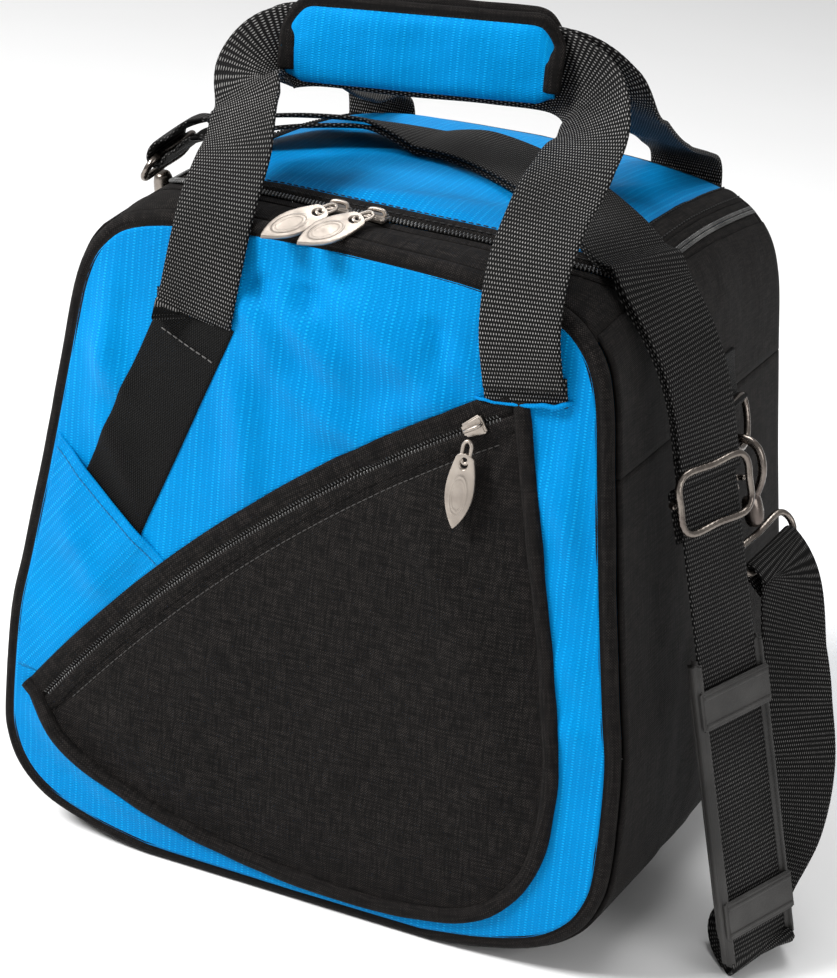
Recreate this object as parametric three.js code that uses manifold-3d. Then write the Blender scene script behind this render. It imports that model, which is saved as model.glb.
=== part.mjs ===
// Single-ball bowling bag with a zipped lid, a wrapped grip and a detachable shoulder strap.
// Millimetres, +X to the bag's right, +Y to its back, +Z up, origin at the centre of the base.
import * as THREE from 'three';
import { mergeVertices } from 'three/addons/utils/BufferGeometryUtils.js';
import Module from 'manifold-3d';

const wasm = await Module();
wasm.setup();

// ---- driving dimensions ----
const GAP = 0.3;              // clearance kept between neighbouring pieces
const FRONT_Y = -116;         // centre plane of the front piping
const BACK_Y = 116;           // centre plane of the back piping
const PIPING_RADIUS = 4.2;
const PIPING_INSET = 4.6;     // piping centre line, inwards from the bag's outline
const WALL = 2.6;             // padded fabric wall
const PANEL_THICKNESS = 3;    // padded front and back panels
const GUSSET_END = 111.4;     // half length of the gussets between the two pipings
const FLOOR_HALF = 72;        // half width of the flat base
const BOTTOM_SEAM_Z = 12;     // bottom gusset to side gusset
const SIDE_SEAM_Z = 245;      // lower to upper side gusset
const ZIP_EDGE_Z = 305;       // top edge of the side gussets
const CROWN = 7;              // extra height of the lid at the middle of its length
const WEB_WIDTH = 38;
const WEB_THICKNESS = 2.2;
const STRAP_THICKNESS = 1.9;
const TOOTH_GAP = 0.35;       // half the gap between the two halves of a zip
const COIL_WIDTH = 2.3;
const TAPE_WIDTH = 5.6;
const LID_BAND_WIDTH = 11;
const LID_HINGE_Y = 112.5;
const RIGHT_RING_Y = 25;       // the rings' distance behind the bag's middle
const LEFT_RING_Y = 0;
const WIRE = 2;               // radius of the ring and hook wire
const COMPARTMENT_CUP_RADIUS = 62;

// ---- colours ----
const FINISHES = {
  blue: { color: 0x0a9be6, roughness: 0.6, metalness: 0 },
  black: { color: 0x1d1b1a, roughness: 0.85, metalness: 0 },
  webbing: { color: 0x1a1a1a, roughness: 0.8, metalness: 0 },
  nickel: { color: 0xb9ada0, roughness: 0.32, metalness: 1 },
  gunmetal: { color: 0x55504d, roughness: 0.3, metalness: 1 },
  coil: { color: 0x151515, roughness: 0.45, metalness: 0 },
  plastic: { color: 0x2b2c2d, roughness: 0.55, metalness: 0 },
  foam: { color: 0x262626, roughness: 0.95, metalness: 0 },
};

const bag = new THREE.Group();

function addPart(name, geometry, finish) {
  const mesh = new THREE.Mesh(geometry, new THREE.MeshStandardMaterial(FINISHES[finish]));
  mesh.name = name;
  bag.add(mesh);
  return mesh;
}

const vec = (x, y, z) => new THREE.Vector3(x, y, z);

// ---- solid builders ----
function signedVolume(points, triangles) {
  let total = 0;
  for (const [a, b, c] of triangles) {
    total += points[a].dot(points[b].clone().cross(points[c]));
  }
  return total;
}

function geometryFrom(points, triangles) {
  const outward = signedVolume(points, triangles) > 0;
  const geometry = new THREE.BufferGeometry();
  const values = points.flatMap((p) => [p.x, p.y, p.z]);
  geometry.setAttribute('position', new THREE.Float32BufferAttribute(values, 3));
  geometry.setIndex(triangles.flatMap(([a, b, c]) => (outward ? [a, b, c] : [a, c, b])));
  return geometry;
}

// A solid through rings of points of the same count; a closed run joins its last ring to its first.
function loft(rings, closed = false) {
  const side = rings[0].length;
  const points = rings.flat();
  const triangles = [];
  const last = closed ? rings.length : rings.length - 1;
  for (let i = 0; i < last; i += 1) {
    const here = i * side;
    const next = ((i + 1) % rings.length) * side;
    for (let j = 0; j < side; j += 1) {
      const k = (j + 1) % side;
      triangles.push([here + j, here + k, next + k], [here + j, next + k, next + j]);
    }
  }
  if (!closed) {
    const end = (rings.length - 1) * side;
    for (let j = 1; j < side - 1; j += 1) {
      triangles.push([0, j + 1, j], [end, end + j, end + j + 1]);
    }
  }
  return geometryFrom(points, triangles);
}

// A sheet of even thickness: surface(u, v) is its outer face, u and v run from 0 to 1.
function slab(stepsU, stepsV, surface, thickness) {
  const outer = [];
  const inner = [];
  const delta = 1e-3;
  for (let i = 0; i <= stepsU; i += 1) {
    for (let j = 0; j <= stepsV; j += 1) {
      const u = i / stepsU;
      const v = j / stepsV;
      const along = surface(Math.min(u + delta, 1), v).sub(surface(Math.max(u - delta, 0), v));
      const across = surface(u, Math.min(v + delta, 1)).sub(surface(u, Math.max(v - delta, 0)));
      const normal = along.cross(across).normalize();
      const point = surface(u, v);
      outer.push(point);
      inner.push(point.clone().addScaledVector(normal, -thickness));
    }
  }
  const points = [...outer, ...inner];
  const row = stepsV + 1;
  const offset = outer.length;
  const triangles = [];
  const quad = (a, b, c, d) => triangles.push([a, b, c], [a, c, d]);
  for (let i = 0; i < stepsU; i += 1) {
    for (let j = 0; j < stepsV; j += 1) {
      const a = i * row + j;
      quad(a, a + row, a + row + 1, a + 1);
      quad(offset + a, offset + a + 1, offset + a + row + 1, offset + a + row);
    }
  }
  for (let i = 0; i < stepsU; i += 1) {
    const near = i * row;
    const far = near + stepsV;
    quad(near, offset + near, offset + near + row, near + row);
    quad(far, far + row, offset + far + row, offset + far);
  }
  for (let j = 0; j < stepsV; j += 1) {
    const end = stepsU * row + j;
    quad(j, j + 1, offset + j + 1, offset + j);
    quad(end, offset + end, offset + end + 1, end + 1);
  }
  return geometryFrom(points, triangles);
}

// Webbing: a flat strip along a path, with a width direction given at each station.
function ribbon(path, widthAt, width, thickness) {
  const rings = path.map((point, i) => {
    const before = path[Math.max(i - 1, 0)];
    const after = path[Math.min(i + 1, path.length - 1)];
    const tangent = after.clone().sub(before).normalize();
    const across = widthAt(i / (path.length - 1), i).clone();
    across.addScaledVector(tangent, -across.dot(tangent)).normalize();
    const normal = tangent.clone().cross(across);
    const corner = (a, b) => point.clone().addScaledVector(across, a * width / 2)
      .addScaledVector(normal, b * thickness / 2);
    return [corner(1, 1), corner(-1, 1), corner(-1, -1), corner(1, -1)];
  });
  return loft(rings);
}

// Round wire or piping along a path, with its frame carried along so that it never twists.
function wire(path, radius, sides = 8, closed = false) {
  const count = path.length;
  const tangentAt = (i) => {
    const before = closed ? path[(i - 1 + count) % count] : path[Math.max(i - 1, 0)];
    const after = closed ? path[(i + 1) % count] : path[Math.min(i + 1, count - 1)];
    return after.clone().sub(before).normalize();
  };
  const first = tangentAt(0);
  const seed = Math.abs(first.z) < 0.9 ? vec(0, 0, 1) : vec(0, 1, 0);
  let across = seed.addScaledVector(first, -seed.dot(first)).normalize();
  const rings = path.map((point, i) => {
    const tangent = tangentAt(i);
    across = across.clone().addScaledVector(tangent, -across.dot(tangent)).normalize();
    const up = tangent.clone().cross(across);
    return Array.from({ length: sides }, (_, j) => {
      const angle = (j / sides) * Math.PI * 2;
      return point.clone().addScaledVector(across, Math.cos(angle) * radius)
        .addScaledVector(up, Math.sin(angle) * radius);
    });
  });
  return loft(rings, closed);
}

function smooth(points, steps, closed = false) {
  const curve = new THREE.CatmullRomCurve3(points, closed, 'centripetal');
  const spaced = curve.getSpacedPoints(steps);
  return closed ? spaced.slice(0, -1) : spaced;
}

// A flat plate drawn in X and Z and extruded between two Y values.
function plate(shape, yLow, yHigh, curveSegments = 8) {
  const settings = { depth: yHigh - yLow, bevelEnabled: false, curveSegments };
  const geometry = new THREE.ExtrudeGeometry(shape, settings);
  geometry.rotateX(Math.PI / 2);
  geometry.translate(0, yHigh, 0);
  return geometry;
}

function toManifold(geometry) {
  const clean = geometry.clone();
  clean.deleteAttribute('normal');
  clean.deleteAttribute('uv');
  const merged = mergeVertices(clean, 1e-4);
  return new wasm.Manifold(new wasm.Mesh({
    numProp: 3,
    vertProperties: new Float32Array(merged.attributes.position.array),
    triVerts: new Uint32Array(merged.index.array),
  }));
}

function union(...geometries) {
  const solid = geometries.map(toManifold).reduce((sum, next) => sum.add(next));
  const mesh = solid.getMesh();
  const geometry = new THREE.BufferGeometry();
  geometry.setAttribute('position', new THREE.BufferAttribute(new Float32Array(mesh.vertProperties), 3));
  geometry.setIndex(new THREE.BufferAttribute(new Uint32Array(mesh.triVerts), 1));
  return geometry;
}

// Places a geometry so that its X, Y and Z follow three given directions at an origin.
function placed(geometry, xAxis, yAxis, zAxis, origin) {
  const matrix = new THREE.Matrix4().makeBasis(xAxis, yAxis, zAxis).setPosition(origin);
  return geometry.applyMatrix4(matrix);
}

// ---- the bag's outline, seen from the front ----
const sideCurve = new THREE.SplineCurve([
  [FLOOR_HALF, 0], [102, 5], [129, 13.5], [146, 26], [155, 42], [158, 62], [157, 109], [152, 141],
  [144, 193], [137, 244], [131, 284], [121, 305], [102, 318], [60, 325], [0, 327],
].map(([x, z]) => new THREE.Vector2(x, z)));

function solveOnSide(test) {
  let low = 0;
  let high = 1;
  for (let i = 0; i < 40; i += 1) {
    const middle = (low + high) / 2;
    if (test(sideCurve.getPoint(middle))) {
      low = middle;
    } else {
      high = middle;
    }
  }
  return low;
}

const atHeight = (z) => solveOnSide((p) => p.y < z);
const archHeight = (x) => sideCurve.getPoint(solveOnSide((p) => p.y < 290 || p.x > Math.abs(x))).y;
const topHeight = (x, y) => archHeight(x) + CROWN * (1 - (y / BACK_Y) ** 2);

function outlineLoop(inset, count) {
  const right = [];
  for (let i = 0; i <= count; i += 1) {
    const t = i / count;
    const point = sideCurve.getPoint(t);
    const tangent = sideCurve.getTangent(t);
    right.push(new THREE.Vector2(point.x - tangent.y * inset, point.y + tangent.x * inset));
  }
  right[0].y = inset;
  right[count].set(0, 327 - inset);
  const left = right.slice(0, -1).reverse().map((p) => new THREE.Vector2(-p.x, p.y));
  return [...right, ...left];
}

// Each wall of the gusset is a strip of the outline between two heights, extruded along Y.
function gussetWall(side, zLow, zHigh, steps) {
  const start = atHeight(zLow);
  const end = atHeight(zHigh);
  const surface = (u, v) => {
    const point = sideCurve.getPoint(start + (end - start) * u);
    return vec(side * point.x, side * (1 - 2 * v) * GUSSET_END, point.y);
  };
  return slab(steps, 1, surface, WALL);
}

for (const [label, side] of [['left', -1], ['right', 1]]) {
  addPart(`${label}_lower_gusset`, gussetWall(side, BOTTOM_SEAM_Z, SIDE_SEAM_Z - GAP, 14), 'black');
  addPart(`${label}_upper_gusset`, gussetWall(side, SIDE_SEAM_Z, ZIP_EDGE_Z, 5), 'black');
}

function bottomGusset() {
  const seam = atHeight(BOTTOM_SEAM_Z - GAP);
  const right = Array.from({ length: 5 }, (_, i) => sideCurve.getPoint(seam * (i / 4)));
  right[0].y = 0;
  const outer = [...right.slice().reverse().map((p) => new THREE.Vector2(-p.x, p.y)), ...right];
  const inner = outer.map((p, i) => {
    const before = outer[Math.max(i - 1, 0)];
    const after = outer[Math.min(i + 1, outer.length - 1)];
    const tangent = after.clone().sub(before).normalize();
    return new THREE.Vector2(p.x - tangent.y * WALL, p.y + tangent.x * WALL);
  });
  const shape = new THREE.Shape([...outer, ...inner.reverse()]);
  return plate(shape, -GUSSET_END, GUSSET_END);
}
addPart('bottom_gusset', bottomGusset(), 'black');

const panelOutline = outlineLoop(PIPING_INSET + PIPING_RADIUS + GAP, 30);
const panelAt = (yLow) => plate(new THREE.Shape(panelOutline), yLow, yLow + PANEL_THICKNESS);
addPart('front_panel', panelAt(FRONT_Y - 2), 'blue');
addPart('back_panel', panelAt(BACK_Y - 1), 'blue');

const pipingLoop = (y) => outlineLoop(PIPING_INSET, 34).map((p) => vec(p.x, y, p.y));
addPart('front_piping', wire(pipingLoop(FRONT_Y), PIPING_RADIUS, 6, true), 'black');
addPart('back_piping', wire(pipingLoop(BACK_Y), PIPING_RADIUS, 6, true), 'black');

// ---- the U-shaped lid zip, drawn in plan ----
const zipCurve = new THREE.CatmullRomCurve3([
  [115, 110], [115, 40], [115, -40], [110, -68], [93, -81], [50, -88], [0, -91],
  [-50, -88], [-93, -81], [-110, -68], [-115, -40], [-115, 40], [-115, 110],
].map(([x, y]) => vec(x, y, 0)), false, 'centripetal');
zipCurve.arcLengthDivisions = 600;

// A point above the top surface, lifted square to it.
function onTop(x, y, lift) {
  const step = 0.5;
  const slopeX = (topHeight(x + step, y) - topHeight(x - step, y)) / (2 * step);
  const slopeY = (topHeight(x, y + step) - topHeight(x, y - step)) / (2 * step);
  return vec(-slopeX, -slopeY, 1).normalize().multiplyScalar(lift).add(vec(x, y, topHeight(x, y)));
}

// A point of the lid surface beside the zip: offset is outwards from the zip line.
function besideZip(u, offset, lift) {
  const point = zipCurve.getPointAt(u);
  const tangent = zipCurve.getTangentAt(u);
  return onTop(point.x - tangent.y * offset, Math.min(point.y + tangent.x * offset, 110), lift);
}

function zipBand(from, to, lift, thickness, steps) {
  return slab(steps, 1, (u, v) => besideZip(u, from + (to - from) * v, lift), thickness);
}

addPart('body_zip_tape', zipBand(TOOTH_GAP, TAPE_WIDTH, 0, 1, 44), 'black');
addPart('body_zip_coil', zipBand(TOOTH_GAP, TOOTH_GAP + COIL_WIDTH, 2, 1.6, 44), 'coil');
addPart('lid_zip_tape', zipBand(-TAPE_WIDTH, -TOOTH_GAP, 0, 1, 44), 'black');
addPart('lid_zip_coil', zipBand(-TOOTH_GAP - COIL_WIDTH, -TOOTH_GAP, 2, 1.6, 44), 'coil');
const bandInner = TAPE_WIDTH + LID_BAND_WIDTH;
addPart('lid_band', zipBand(-bandInner, -TAPE_WIDTH - GAP, 1.2, 2, 44), 'black');

// The blue lid panel fills the U inside the band, row by row across the bag.
function insideZip(offset) {
  const steps = 160;
  const edge = Array.from({ length: steps + 1 }, (_, i) => besideZip(0.5 * (i / steps), -offset, 0));
  return (y) => {
    const index = edge.findIndex((p) => p.y < y);
    if (index < 0) {
      return 0;
    }
    return edge[Math.max(index, 0)].x;
  };
}

function lidPanel() {
  const halfWidthAt = insideZip(bandInner + GAP + 0.6);
  const frontY = -91 + bandInner + 4;
  const rows = 18;
  const surface = (u, v) => {
    const y = frontY + (109.5 - frontY) * u ** 1.4;
    return onTop(halfWidthAt(y) * (1 - 2 * v), y, 1.8);
  };
  return slab(rows, 10, surface, WALL);
}
addPart('lid_panel', lidPanel(), 'blue');

// Black strip between the front piping and the zip; it also fills the two front corners.
function topFrontStrip() {
  const outside = Array.from({ length: 121 }, (_, i) => besideZip(i / 120, TAPE_WIDTH + 2.6, 0));
  const yAt = (x) => {
    const near = outside.filter((p) => p.y < -20);
    const index = near.findIndex((p) => p.x < x);
    return near[Math.max(index, 0)].y;
  };
  const surface = (u, v) => {
    const x = -119.5 + 239 * u;
    const y = -GUSSET_END + (Math.min(yAt(x), -50) + GUSSET_END) * v;
    return vec(x, y, topHeight(x, y));
  };
  return slab(30, 3, surface, 2);
}
addPart('top_front_strip', topFrontStrip(), 'black');

// ---- front pocket ----
const FACE = FRONT_Y - 2;                       // front face of the front panel
const zipStart = new THREE.Vector2(-136, 68);   // lower left end of the pocket zip
const zipEnd = new THREE.Vector2(82, 263);      // upper right end
const POCKET_ZIP_SAG = 15;                      // rise of the zip above its chord
const chord = zipEnd.clone().sub(zipStart);
const POCKET_ZIP_RADIUS = (chord.length() ** 2) / (8 * POCKET_ZIP_SAG) + POCKET_ZIP_SAG / 2;
const chordNormal = new THREE.Vector2(chord.y, -chord.x).normalize();
const pocketZipCentre = zipStart.clone().add(zipEnd).multiplyScalar(0.5)
  .addScaledVector(chordNormal, POCKET_ZIP_RADIUS - POCKET_ZIP_SAG);

function onPocketZip(u, offset) {
  const first = Math.atan2(zipStart.y - pocketZipCentre.y, zipStart.x - pocketZipCentre.x);
  const last = Math.atan2(zipEnd.y - pocketZipCentre.y, zipEnd.x - pocketZipCentre.x);
  const angle = first + (last - first) * u;
  const radius = POCKET_ZIP_RADIUS + offset;
  return new THREE.Vector2(Math.cos(angle), Math.sin(angle)).multiplyScalar(radius).add(pocketZipCentre);
}

function pocketStrip(from, to, yFace, thickness, uLow = 0, uHigh = 1) {
  const surface = (u, v) => {
    const point = onPocketZip(uLow + (uHigh - uLow) * u, from + (to - from) * v);
    return vec(point.x, yFace, point.y);
  };
  return slab(22, 1, surface, thickness);
}
addPart('pocket_zip_upper_tape', pocketStrip(TOOTH_GAP, 9, FACE - 2.2, 1.9, 0.04), 'black');
addPart('pocket_zip_lower_tape', pocketStrip(-6, -TOOTH_GAP, FACE - 2.2, 1.9, 0.02), 'black');
addPart('pocket_zip_coil', pocketStrip(-2.2, 2.2, FACE - 3.9, 1.4, 0.03, 0.97), 'coil');

const pocketEdge = [
  [-137, 58], [-101, 38], [-45, 20], [10, 13.5], [62, 13.5], [100, 24], [121, 50], [127, 95], [120, 145],
  [104, 221], [93, 262],
].map(([x, z]) => vec(x, 0, z));
const pocketEdgePath = smooth(pocketEdge, 40);

function pocketPanel() {
  const lower = pocketEdgePath.map((p) => new THREE.Vector2(p.x, p.z));
  const upper = Array.from({ length: 24 }, (_, i) => onPocketZip(0.98 - 0.96 * (i / 23), -6.4));
  return plate(new THREE.Shape([...lower.slice(1, -1).map((p, i, all) => {
    const next = all[Math.min(i + 1, all.length - 1)];
    const before = all[Math.max(i - 1, 0)];
    const tangent = next.clone().sub(before).normalize();
    return p.clone().add(new THREE.Vector2(-tangent.y, tangent.x).multiplyScalar(3.8));
  }), ...upper]), FACE - 4.8, FACE - GAP);
}
addPart('pocket_panel', pocketPanel(), 'black');
const pipingLine = pocketEdgePath.map((p) => vec(p.x, FACE - 3.6, p.z));
addPart('pocket_piping', wire(pipingLine, 3.2, 8), 'black');

// Blue patch over the front's lower left corner; the left handle web goes in under its slanting top edge.
function cornerPatch() {
  const edge = Array.from({ length: 12 }, (_, i) => onPocketZip(0.32 - 0.27 * (i / 11), 9.6));
  const outline = outlineLoop(PIPING_INSET + PIPING_RADIUS + 1.2, 60)
    .filter((p) => p.x < -80 && p.y > 84 && p.y < 196);
  outline.sort((a, b) => a.y - b.y);
  return plate(new THREE.Shape([...edge, ...outline, new THREE.Vector2(-127, 198)]), FACE - 3.6, FACE - 2.8);
}
addPart('corner_patch', cornerPatch(), 'blue');

// ---- handles ----
// The free front web stands up from its stitching, then leans back to the grip.
const leftGripEnd = vec(-64, -50, 391);
const rightGripEnd = vec(68, -34, 400);
const gripAxis = rightGripEnd.clone().sub(leftGripEnd).normalize();
const GRIP_HEIGHT = 46;
const GRIP_DEPTH = 15;

function stitchedWeb(low, high, y, name) {
  const path = [low, high].map(([x, z]) => vec(x, y, z));
  const along = path[1].clone().sub(path[0]).normalize();
  const across = along.clone().cross(vec(0, 1, 0));
  addPart(name, ribbon(path, () => across, WEB_WIDTH, WEB_THICKNESS), 'webbing');
}
stitchedWeb([-99, 190], [-67, 279], FACE - GAP - WEB_THICKNESS / 2, 'front_left_lower_web');
stitchedWeb([94, 277], [94, 292], FACE - GAP - WEB_THICKNESS / 2, 'front_right_lower_web');
stitchedWeb([-92, 200], [-92, 279], BACK_Y + 2 + GAP + WEB_THICKNESS / 2, 'rear_left_lower_web');
stitchedWeb([76, 200], [76, 279], BACK_Y + 2 + GAP + WEB_THICKNESS / 2, 'rear_right_lower_web');

// The web's flat side faces front and back all the way, so it turns down in its own plane at the grip's ends.
function handleWeb(points) {
  const path = smooth(points, 48);
  const widthAt = (t, i) => {
    const before = path[Math.max(i - 1, 0)];
    const after = path[Math.min(i + 1, path.length - 1)];
    return after.clone().sub(before).normalize().cross(vec(0, -1, 0));
  };
  return ribbon(path, widthAt, WEB_WIDTH, WEB_THICKNESS);
}

const HANDLE_FOOT_Z = 284;
const frontHandlePath = [
  vec(-66, -127, HANDLE_FOOT_Z), vec(-62, -127, 305), vec(-62, -119, 330), vec(-64, -101, 352),
  vec(-71, -80, 368), vec(-76, -65, 378), vec(-71, -54, 387), vec(-58, -49.6, 391.5), vec(-10, -43.8, 394.5),
  vec(30, -39, 397.5), vec(63, -35, 397.5), vec(77, -38, 392), vec(86, -52, 382), vec(89, -78, 369),
  vec(88, -101, 352), vec(88, -119, 330), vec(90, -127, 305), vec(94, -127, HANDLE_FOOT_Z + 12),
];
addPart('front_handle_web', handleWeb(frontHandlePath), 'webbing');

const rearHandlePath = [
  vec(-92, 125, HANDLE_FOOT_Z), vec(-92, 125, 308), vec(-92, 120, 330), vec(-91, 100, 341), vec(-88, 60, 350),
  vec(-83, 20, 363), vec(-78, -15, 377), vec(-72, -36, 387), vec(-58, -43.2, 391.5), vec(-10, -37.4, 394.5),
  vec(30, -32.6, 397.5), vec(66, -28.4, 397.5), vec(77, -14, 389), vec(78, 20, 371), vec(77, 60, 353),
  vec(76, 100, 340), vec(76, 120, 330), vec(76, 125, 308), vec(76, 125, HANDLE_FOOT_Z),
];
addPart('rear_handle_web', handleWeb(rearHandlePath), 'webbing');

// The padded wrap is two leaves, one on the front web and one on the rear web.
function gripLeaf(facing, depth, margin) {
  const half = GRIP_HEIGHT / 2;
  const bulge = (a) => Math.sqrt(Math.max(1 - a ** 6, 0));
  const across = vec(-gripAxis.y, gripAxis.x, 0).normalize().multiplyScalar(facing);
  const start = leftGripEnd.clone().addScaledVector(gripAxis, margin);
  const span = rightGripEnd.distanceTo(leftGripEnd) - 2 * margin;
  const middle = vec(0, facing > 0 ? 6.2 : 0, 0);
  const surface = (u, v) => {
    const height = (1 - 2 * v) * facing;
    const point = start.clone().addScaledVector(gripAxis, span * u).add(middle);
    point.addScaledVector(across, 2.6 + depth * bulge(height));
    return point.add(vec(0, 0, height * half));
  };
  return slab(10, 8, surface, 2.4);
}
addPart('grip_front_leaf', gripLeaf(-1, GRIP_DEPTH / 2, 6), 'blue');
addPart('grip_rear_leaf', gripLeaf(1, GRIP_DEPTH / 2.3, 11), 'blue');

// ---- zip sliders and pulls ----
function sliderBody(origin, forward, up) {
  const across = up.clone().cross(forward).normalize();
  const platform = new THREE.BoxGeometry(12, 7.4, 1.6);
  const bridge = new THREE.BoxGeometry(7, 2, 3.4);
  bridge.translate(0, 0, 2);
  const body = union(platform, bridge);
  return placed(body, forward, across, up, origin);
}

// Leaf-shaped pull with an oval slot at its top; it lies along a direction, with its flat side to faceUp.
function pullTab(origin, along, faceUp) {
  const shape = new THREE.Shape();
  shape.moveTo(-3.5, 0);
  shape.bezierCurveTo(-8, -10, -8.5, -26, 0, -42);
  shape.bezierCurveTo(8.5, -26, 8, -10, 3.5, 0);
  shape.closePath();
  const slot = new THREE.Path();
  slot.absellipse(0, -4.4, 2.8, 2, 0, Math.PI * 2, true);
  shape.holes.push(slot);
  const geometry = new THREE.ExtrudeGeometry(shape, { depth: 1.6, bevelEnabled: false, curveSegments: 8 });
  geometry.translate(0, 0, -0.8);
  const down = along.clone().normalize();
  const face = faceUp.clone().addScaledVector(down, -faceUp.dot(down)).normalize();
  const right = face.clone().cross(down).normalize();
  return placed(geometry, right, down.clone().negate(), face, origin);
}

for (const [label, x, tip] of [['left', -13, vec(-36, -142, 323)], ['right', 5, vec(-20, -145, 323)]]) {
  const y = -91 - 4;
  const seat = vec(x, y, topHeight(x, y) + 3.4);
  addPart(`${label}_lid_slider`, sliderBody(seat, vec(1, 0, 0), vec(0, 0, 1)), 'nickel');
  const pin = seat.clone().add(vec(0, -6.4, 2.8));
  addPart(`${label}_lid_pull`, pullTab(pin, tip.clone().sub(pin), vec(0, 0, 1)), 'nickel');
}
const pocketSliderSeat = onPocketZip(0.965, 0);
const pocketZipForward = vec(0.84, 0, 0.54).normalize();
const pocketSeat = vec(pocketSliderSeat.x, FACE - 6.4, pocketSliderSeat.y);
addPart('pocket_slider', sliderBody(pocketSeat, pocketZipForward, vec(0, -1, 0)), 'nickel');
const pocketPin = pocketSeat.clone().add(vec(0, -3.2, -6.4));
addPart('pocket_pull', pullTab(pocketPin, vec(-0.05, 0, -1), vec(0, -1, 0)), 'nickel');

// ---- D-rings, snap hooks and their tabs ----
const ringY = (side) => (side > 0 ? RIGHT_RING_Y : LEFT_RING_Y);

function ringTab(side) {
  const t = atHeight(SIDE_SEAM_Z + 6);
  const x = sideCurve.getPoint(t).x + WALL / 2 + 1;
  const y = ringY(side);
  const path = [[x, 262], [x + 1.2, 254], [x + 3, 246]].map(([out, z]) => vec(side * out, y, z));
  return ribbon(path, () => vec(0, 1, 0), 24, 2);
}

// Local frame of a ring or a hook: hang is the direction it hangs in, out is square to its plane.
function dRing(origin, hang) {
  const across = vec(0, 1, 0);
  const at = (a, h) => origin.clone().addScaledVector(across, a).addScaledVector(hang, h);
  const corners = [[-14, 0], [0, 0], [14, 0], [15, 8], [9.5, 19], [0, 22], [-9.5, 19], [-15, 8]];
  const path = smooth(corners.map(([a, h]) => at(a, h)), 32, true);
  return wire(path, WIRE, 6, true);
}

// Trigger snap hook: a bent nose open on one side, on a barrel that swivels on the eye.
const HOOK_LENGTH = 44;
function hookBody(origin, hang) {
  const across = vec(0, 1, 0).cross(hang).normalize();
  const at = (a, h) => origin.clone().addScaledVector(across, a).addScaledVector(hang, h);
  const route = [at(0, 31), at(-5, 25), at(-8.5, 16), at(-7.5, 5), at(0, 0), at(7.5, 5), at(8.6, 11)];
  const nose = wire(smooth(route, 18), WIRE + 0.3, 8);
  const profile = [[0, 0], [4.4, 0], [5.2, 3], [5.2, 10], [3.8, 15], [0, 15]];
  const turned = new THREE.LatheGeometry(profile.map(([r, h]) => new THREE.Vector2(r, h)), 14);
  const barrel = placed(turned, across, hang, across.clone().cross(hang), at(0, 29));
  return union(nose, barrel);
}

function hookGate(origin, hang) {
  const across = vec(0, 1, 0).cross(hang).normalize();
  const at = (a, h) => origin.clone().addScaledVector(across, a).addScaledVector(hang, h);
  return wire([at(8.6, 14), at(8, 20), at(6.4, 25.6)], WIRE, 8);
}

function hookEye(origin, hang, across) {
  const at = (a, h) => origin.clone().addScaledVector(across, a).addScaledVector(hang, h);
  const corners = [
    [-22.5, 6], [-19.5, 2], [0, 2], [19.5, 2], [22.5, 6], [22.5, 10], [19.5, 14], [0, 14], [-19.5, 14], [-22.5, 10],
  ];
  return wire(smooth(corners.map(([a, h]) => at(a, h)), 40, true), WIRE, 6, true);
}

const rightHang = vec(0.32, 0, -0.95).normalize();
const ringX = sideCurve.getPoint(atHeight(SIDE_SEAM_Z)).x + 8;
const rightRingOrigin = vec(ringX, RIGHT_RING_Y, 243);
addPart('right_ring_tab', ringTab(1), 'webbing');
addPart('left_ring_tab', ringTab(-1), 'webbing');
addPart('right_d_ring', dRing(rightRingOrigin, rightHang), 'gunmetal');
const rightHookOrigin = rightRingOrigin.clone().addScaledVector(rightHang, 22 - 2 * WIRE - 0.9);
addPart('right_hook_body', hookBody(rightHookOrigin, rightHang), 'gunmetal');
addPart('right_hook_gate', hookGate(rightHookOrigin, rightHang), 'gunmetal');

const leftRingOrigin = vec(-ringX, LEFT_RING_Y, 248);
const leftRingHang = vec(-0.06, 0, 1).normalize();
addPart('left_d_ring', dRing(leftRingOrigin, leftRingHang), 'gunmetal');
const leftHookHang = vec(0, -0.3, 0.95).normalize();
const leftHookOrigin = leftRingOrigin.clone().addScaledVector(leftRingHang, 22 - 2 * WIRE - 0.9);
addPart('left_hook_body', hookBody(leftHookOrigin, leftHookHang), 'gunmetal');
addPart('left_hook_gate', hookGate(leftHookOrigin, leftHookHang), 'gunmetal');

// ---- shoulder strap ----
const RUN_TOP = vec(155, -67, 272);
const RUN_FOOT = vec(218, -59, 12);
const runDown = RUN_FOOT.clone().sub(RUN_TOP).normalize();
const runAcross = vec(0.42, 0.91, 0);
runAcross.addScaledVector(runDown, -runAcross.dot(runDown)).normalize();
const runOut = runDown.clone().cross(runAcross).normalize();
const onRun = (down, out = 0) => RUN_TOP.clone().addScaledVector(runDown, down).addScaledVector(runOut, out);
const LAYER_STEP = STRAP_THICKNESS + 1.3;

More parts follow.
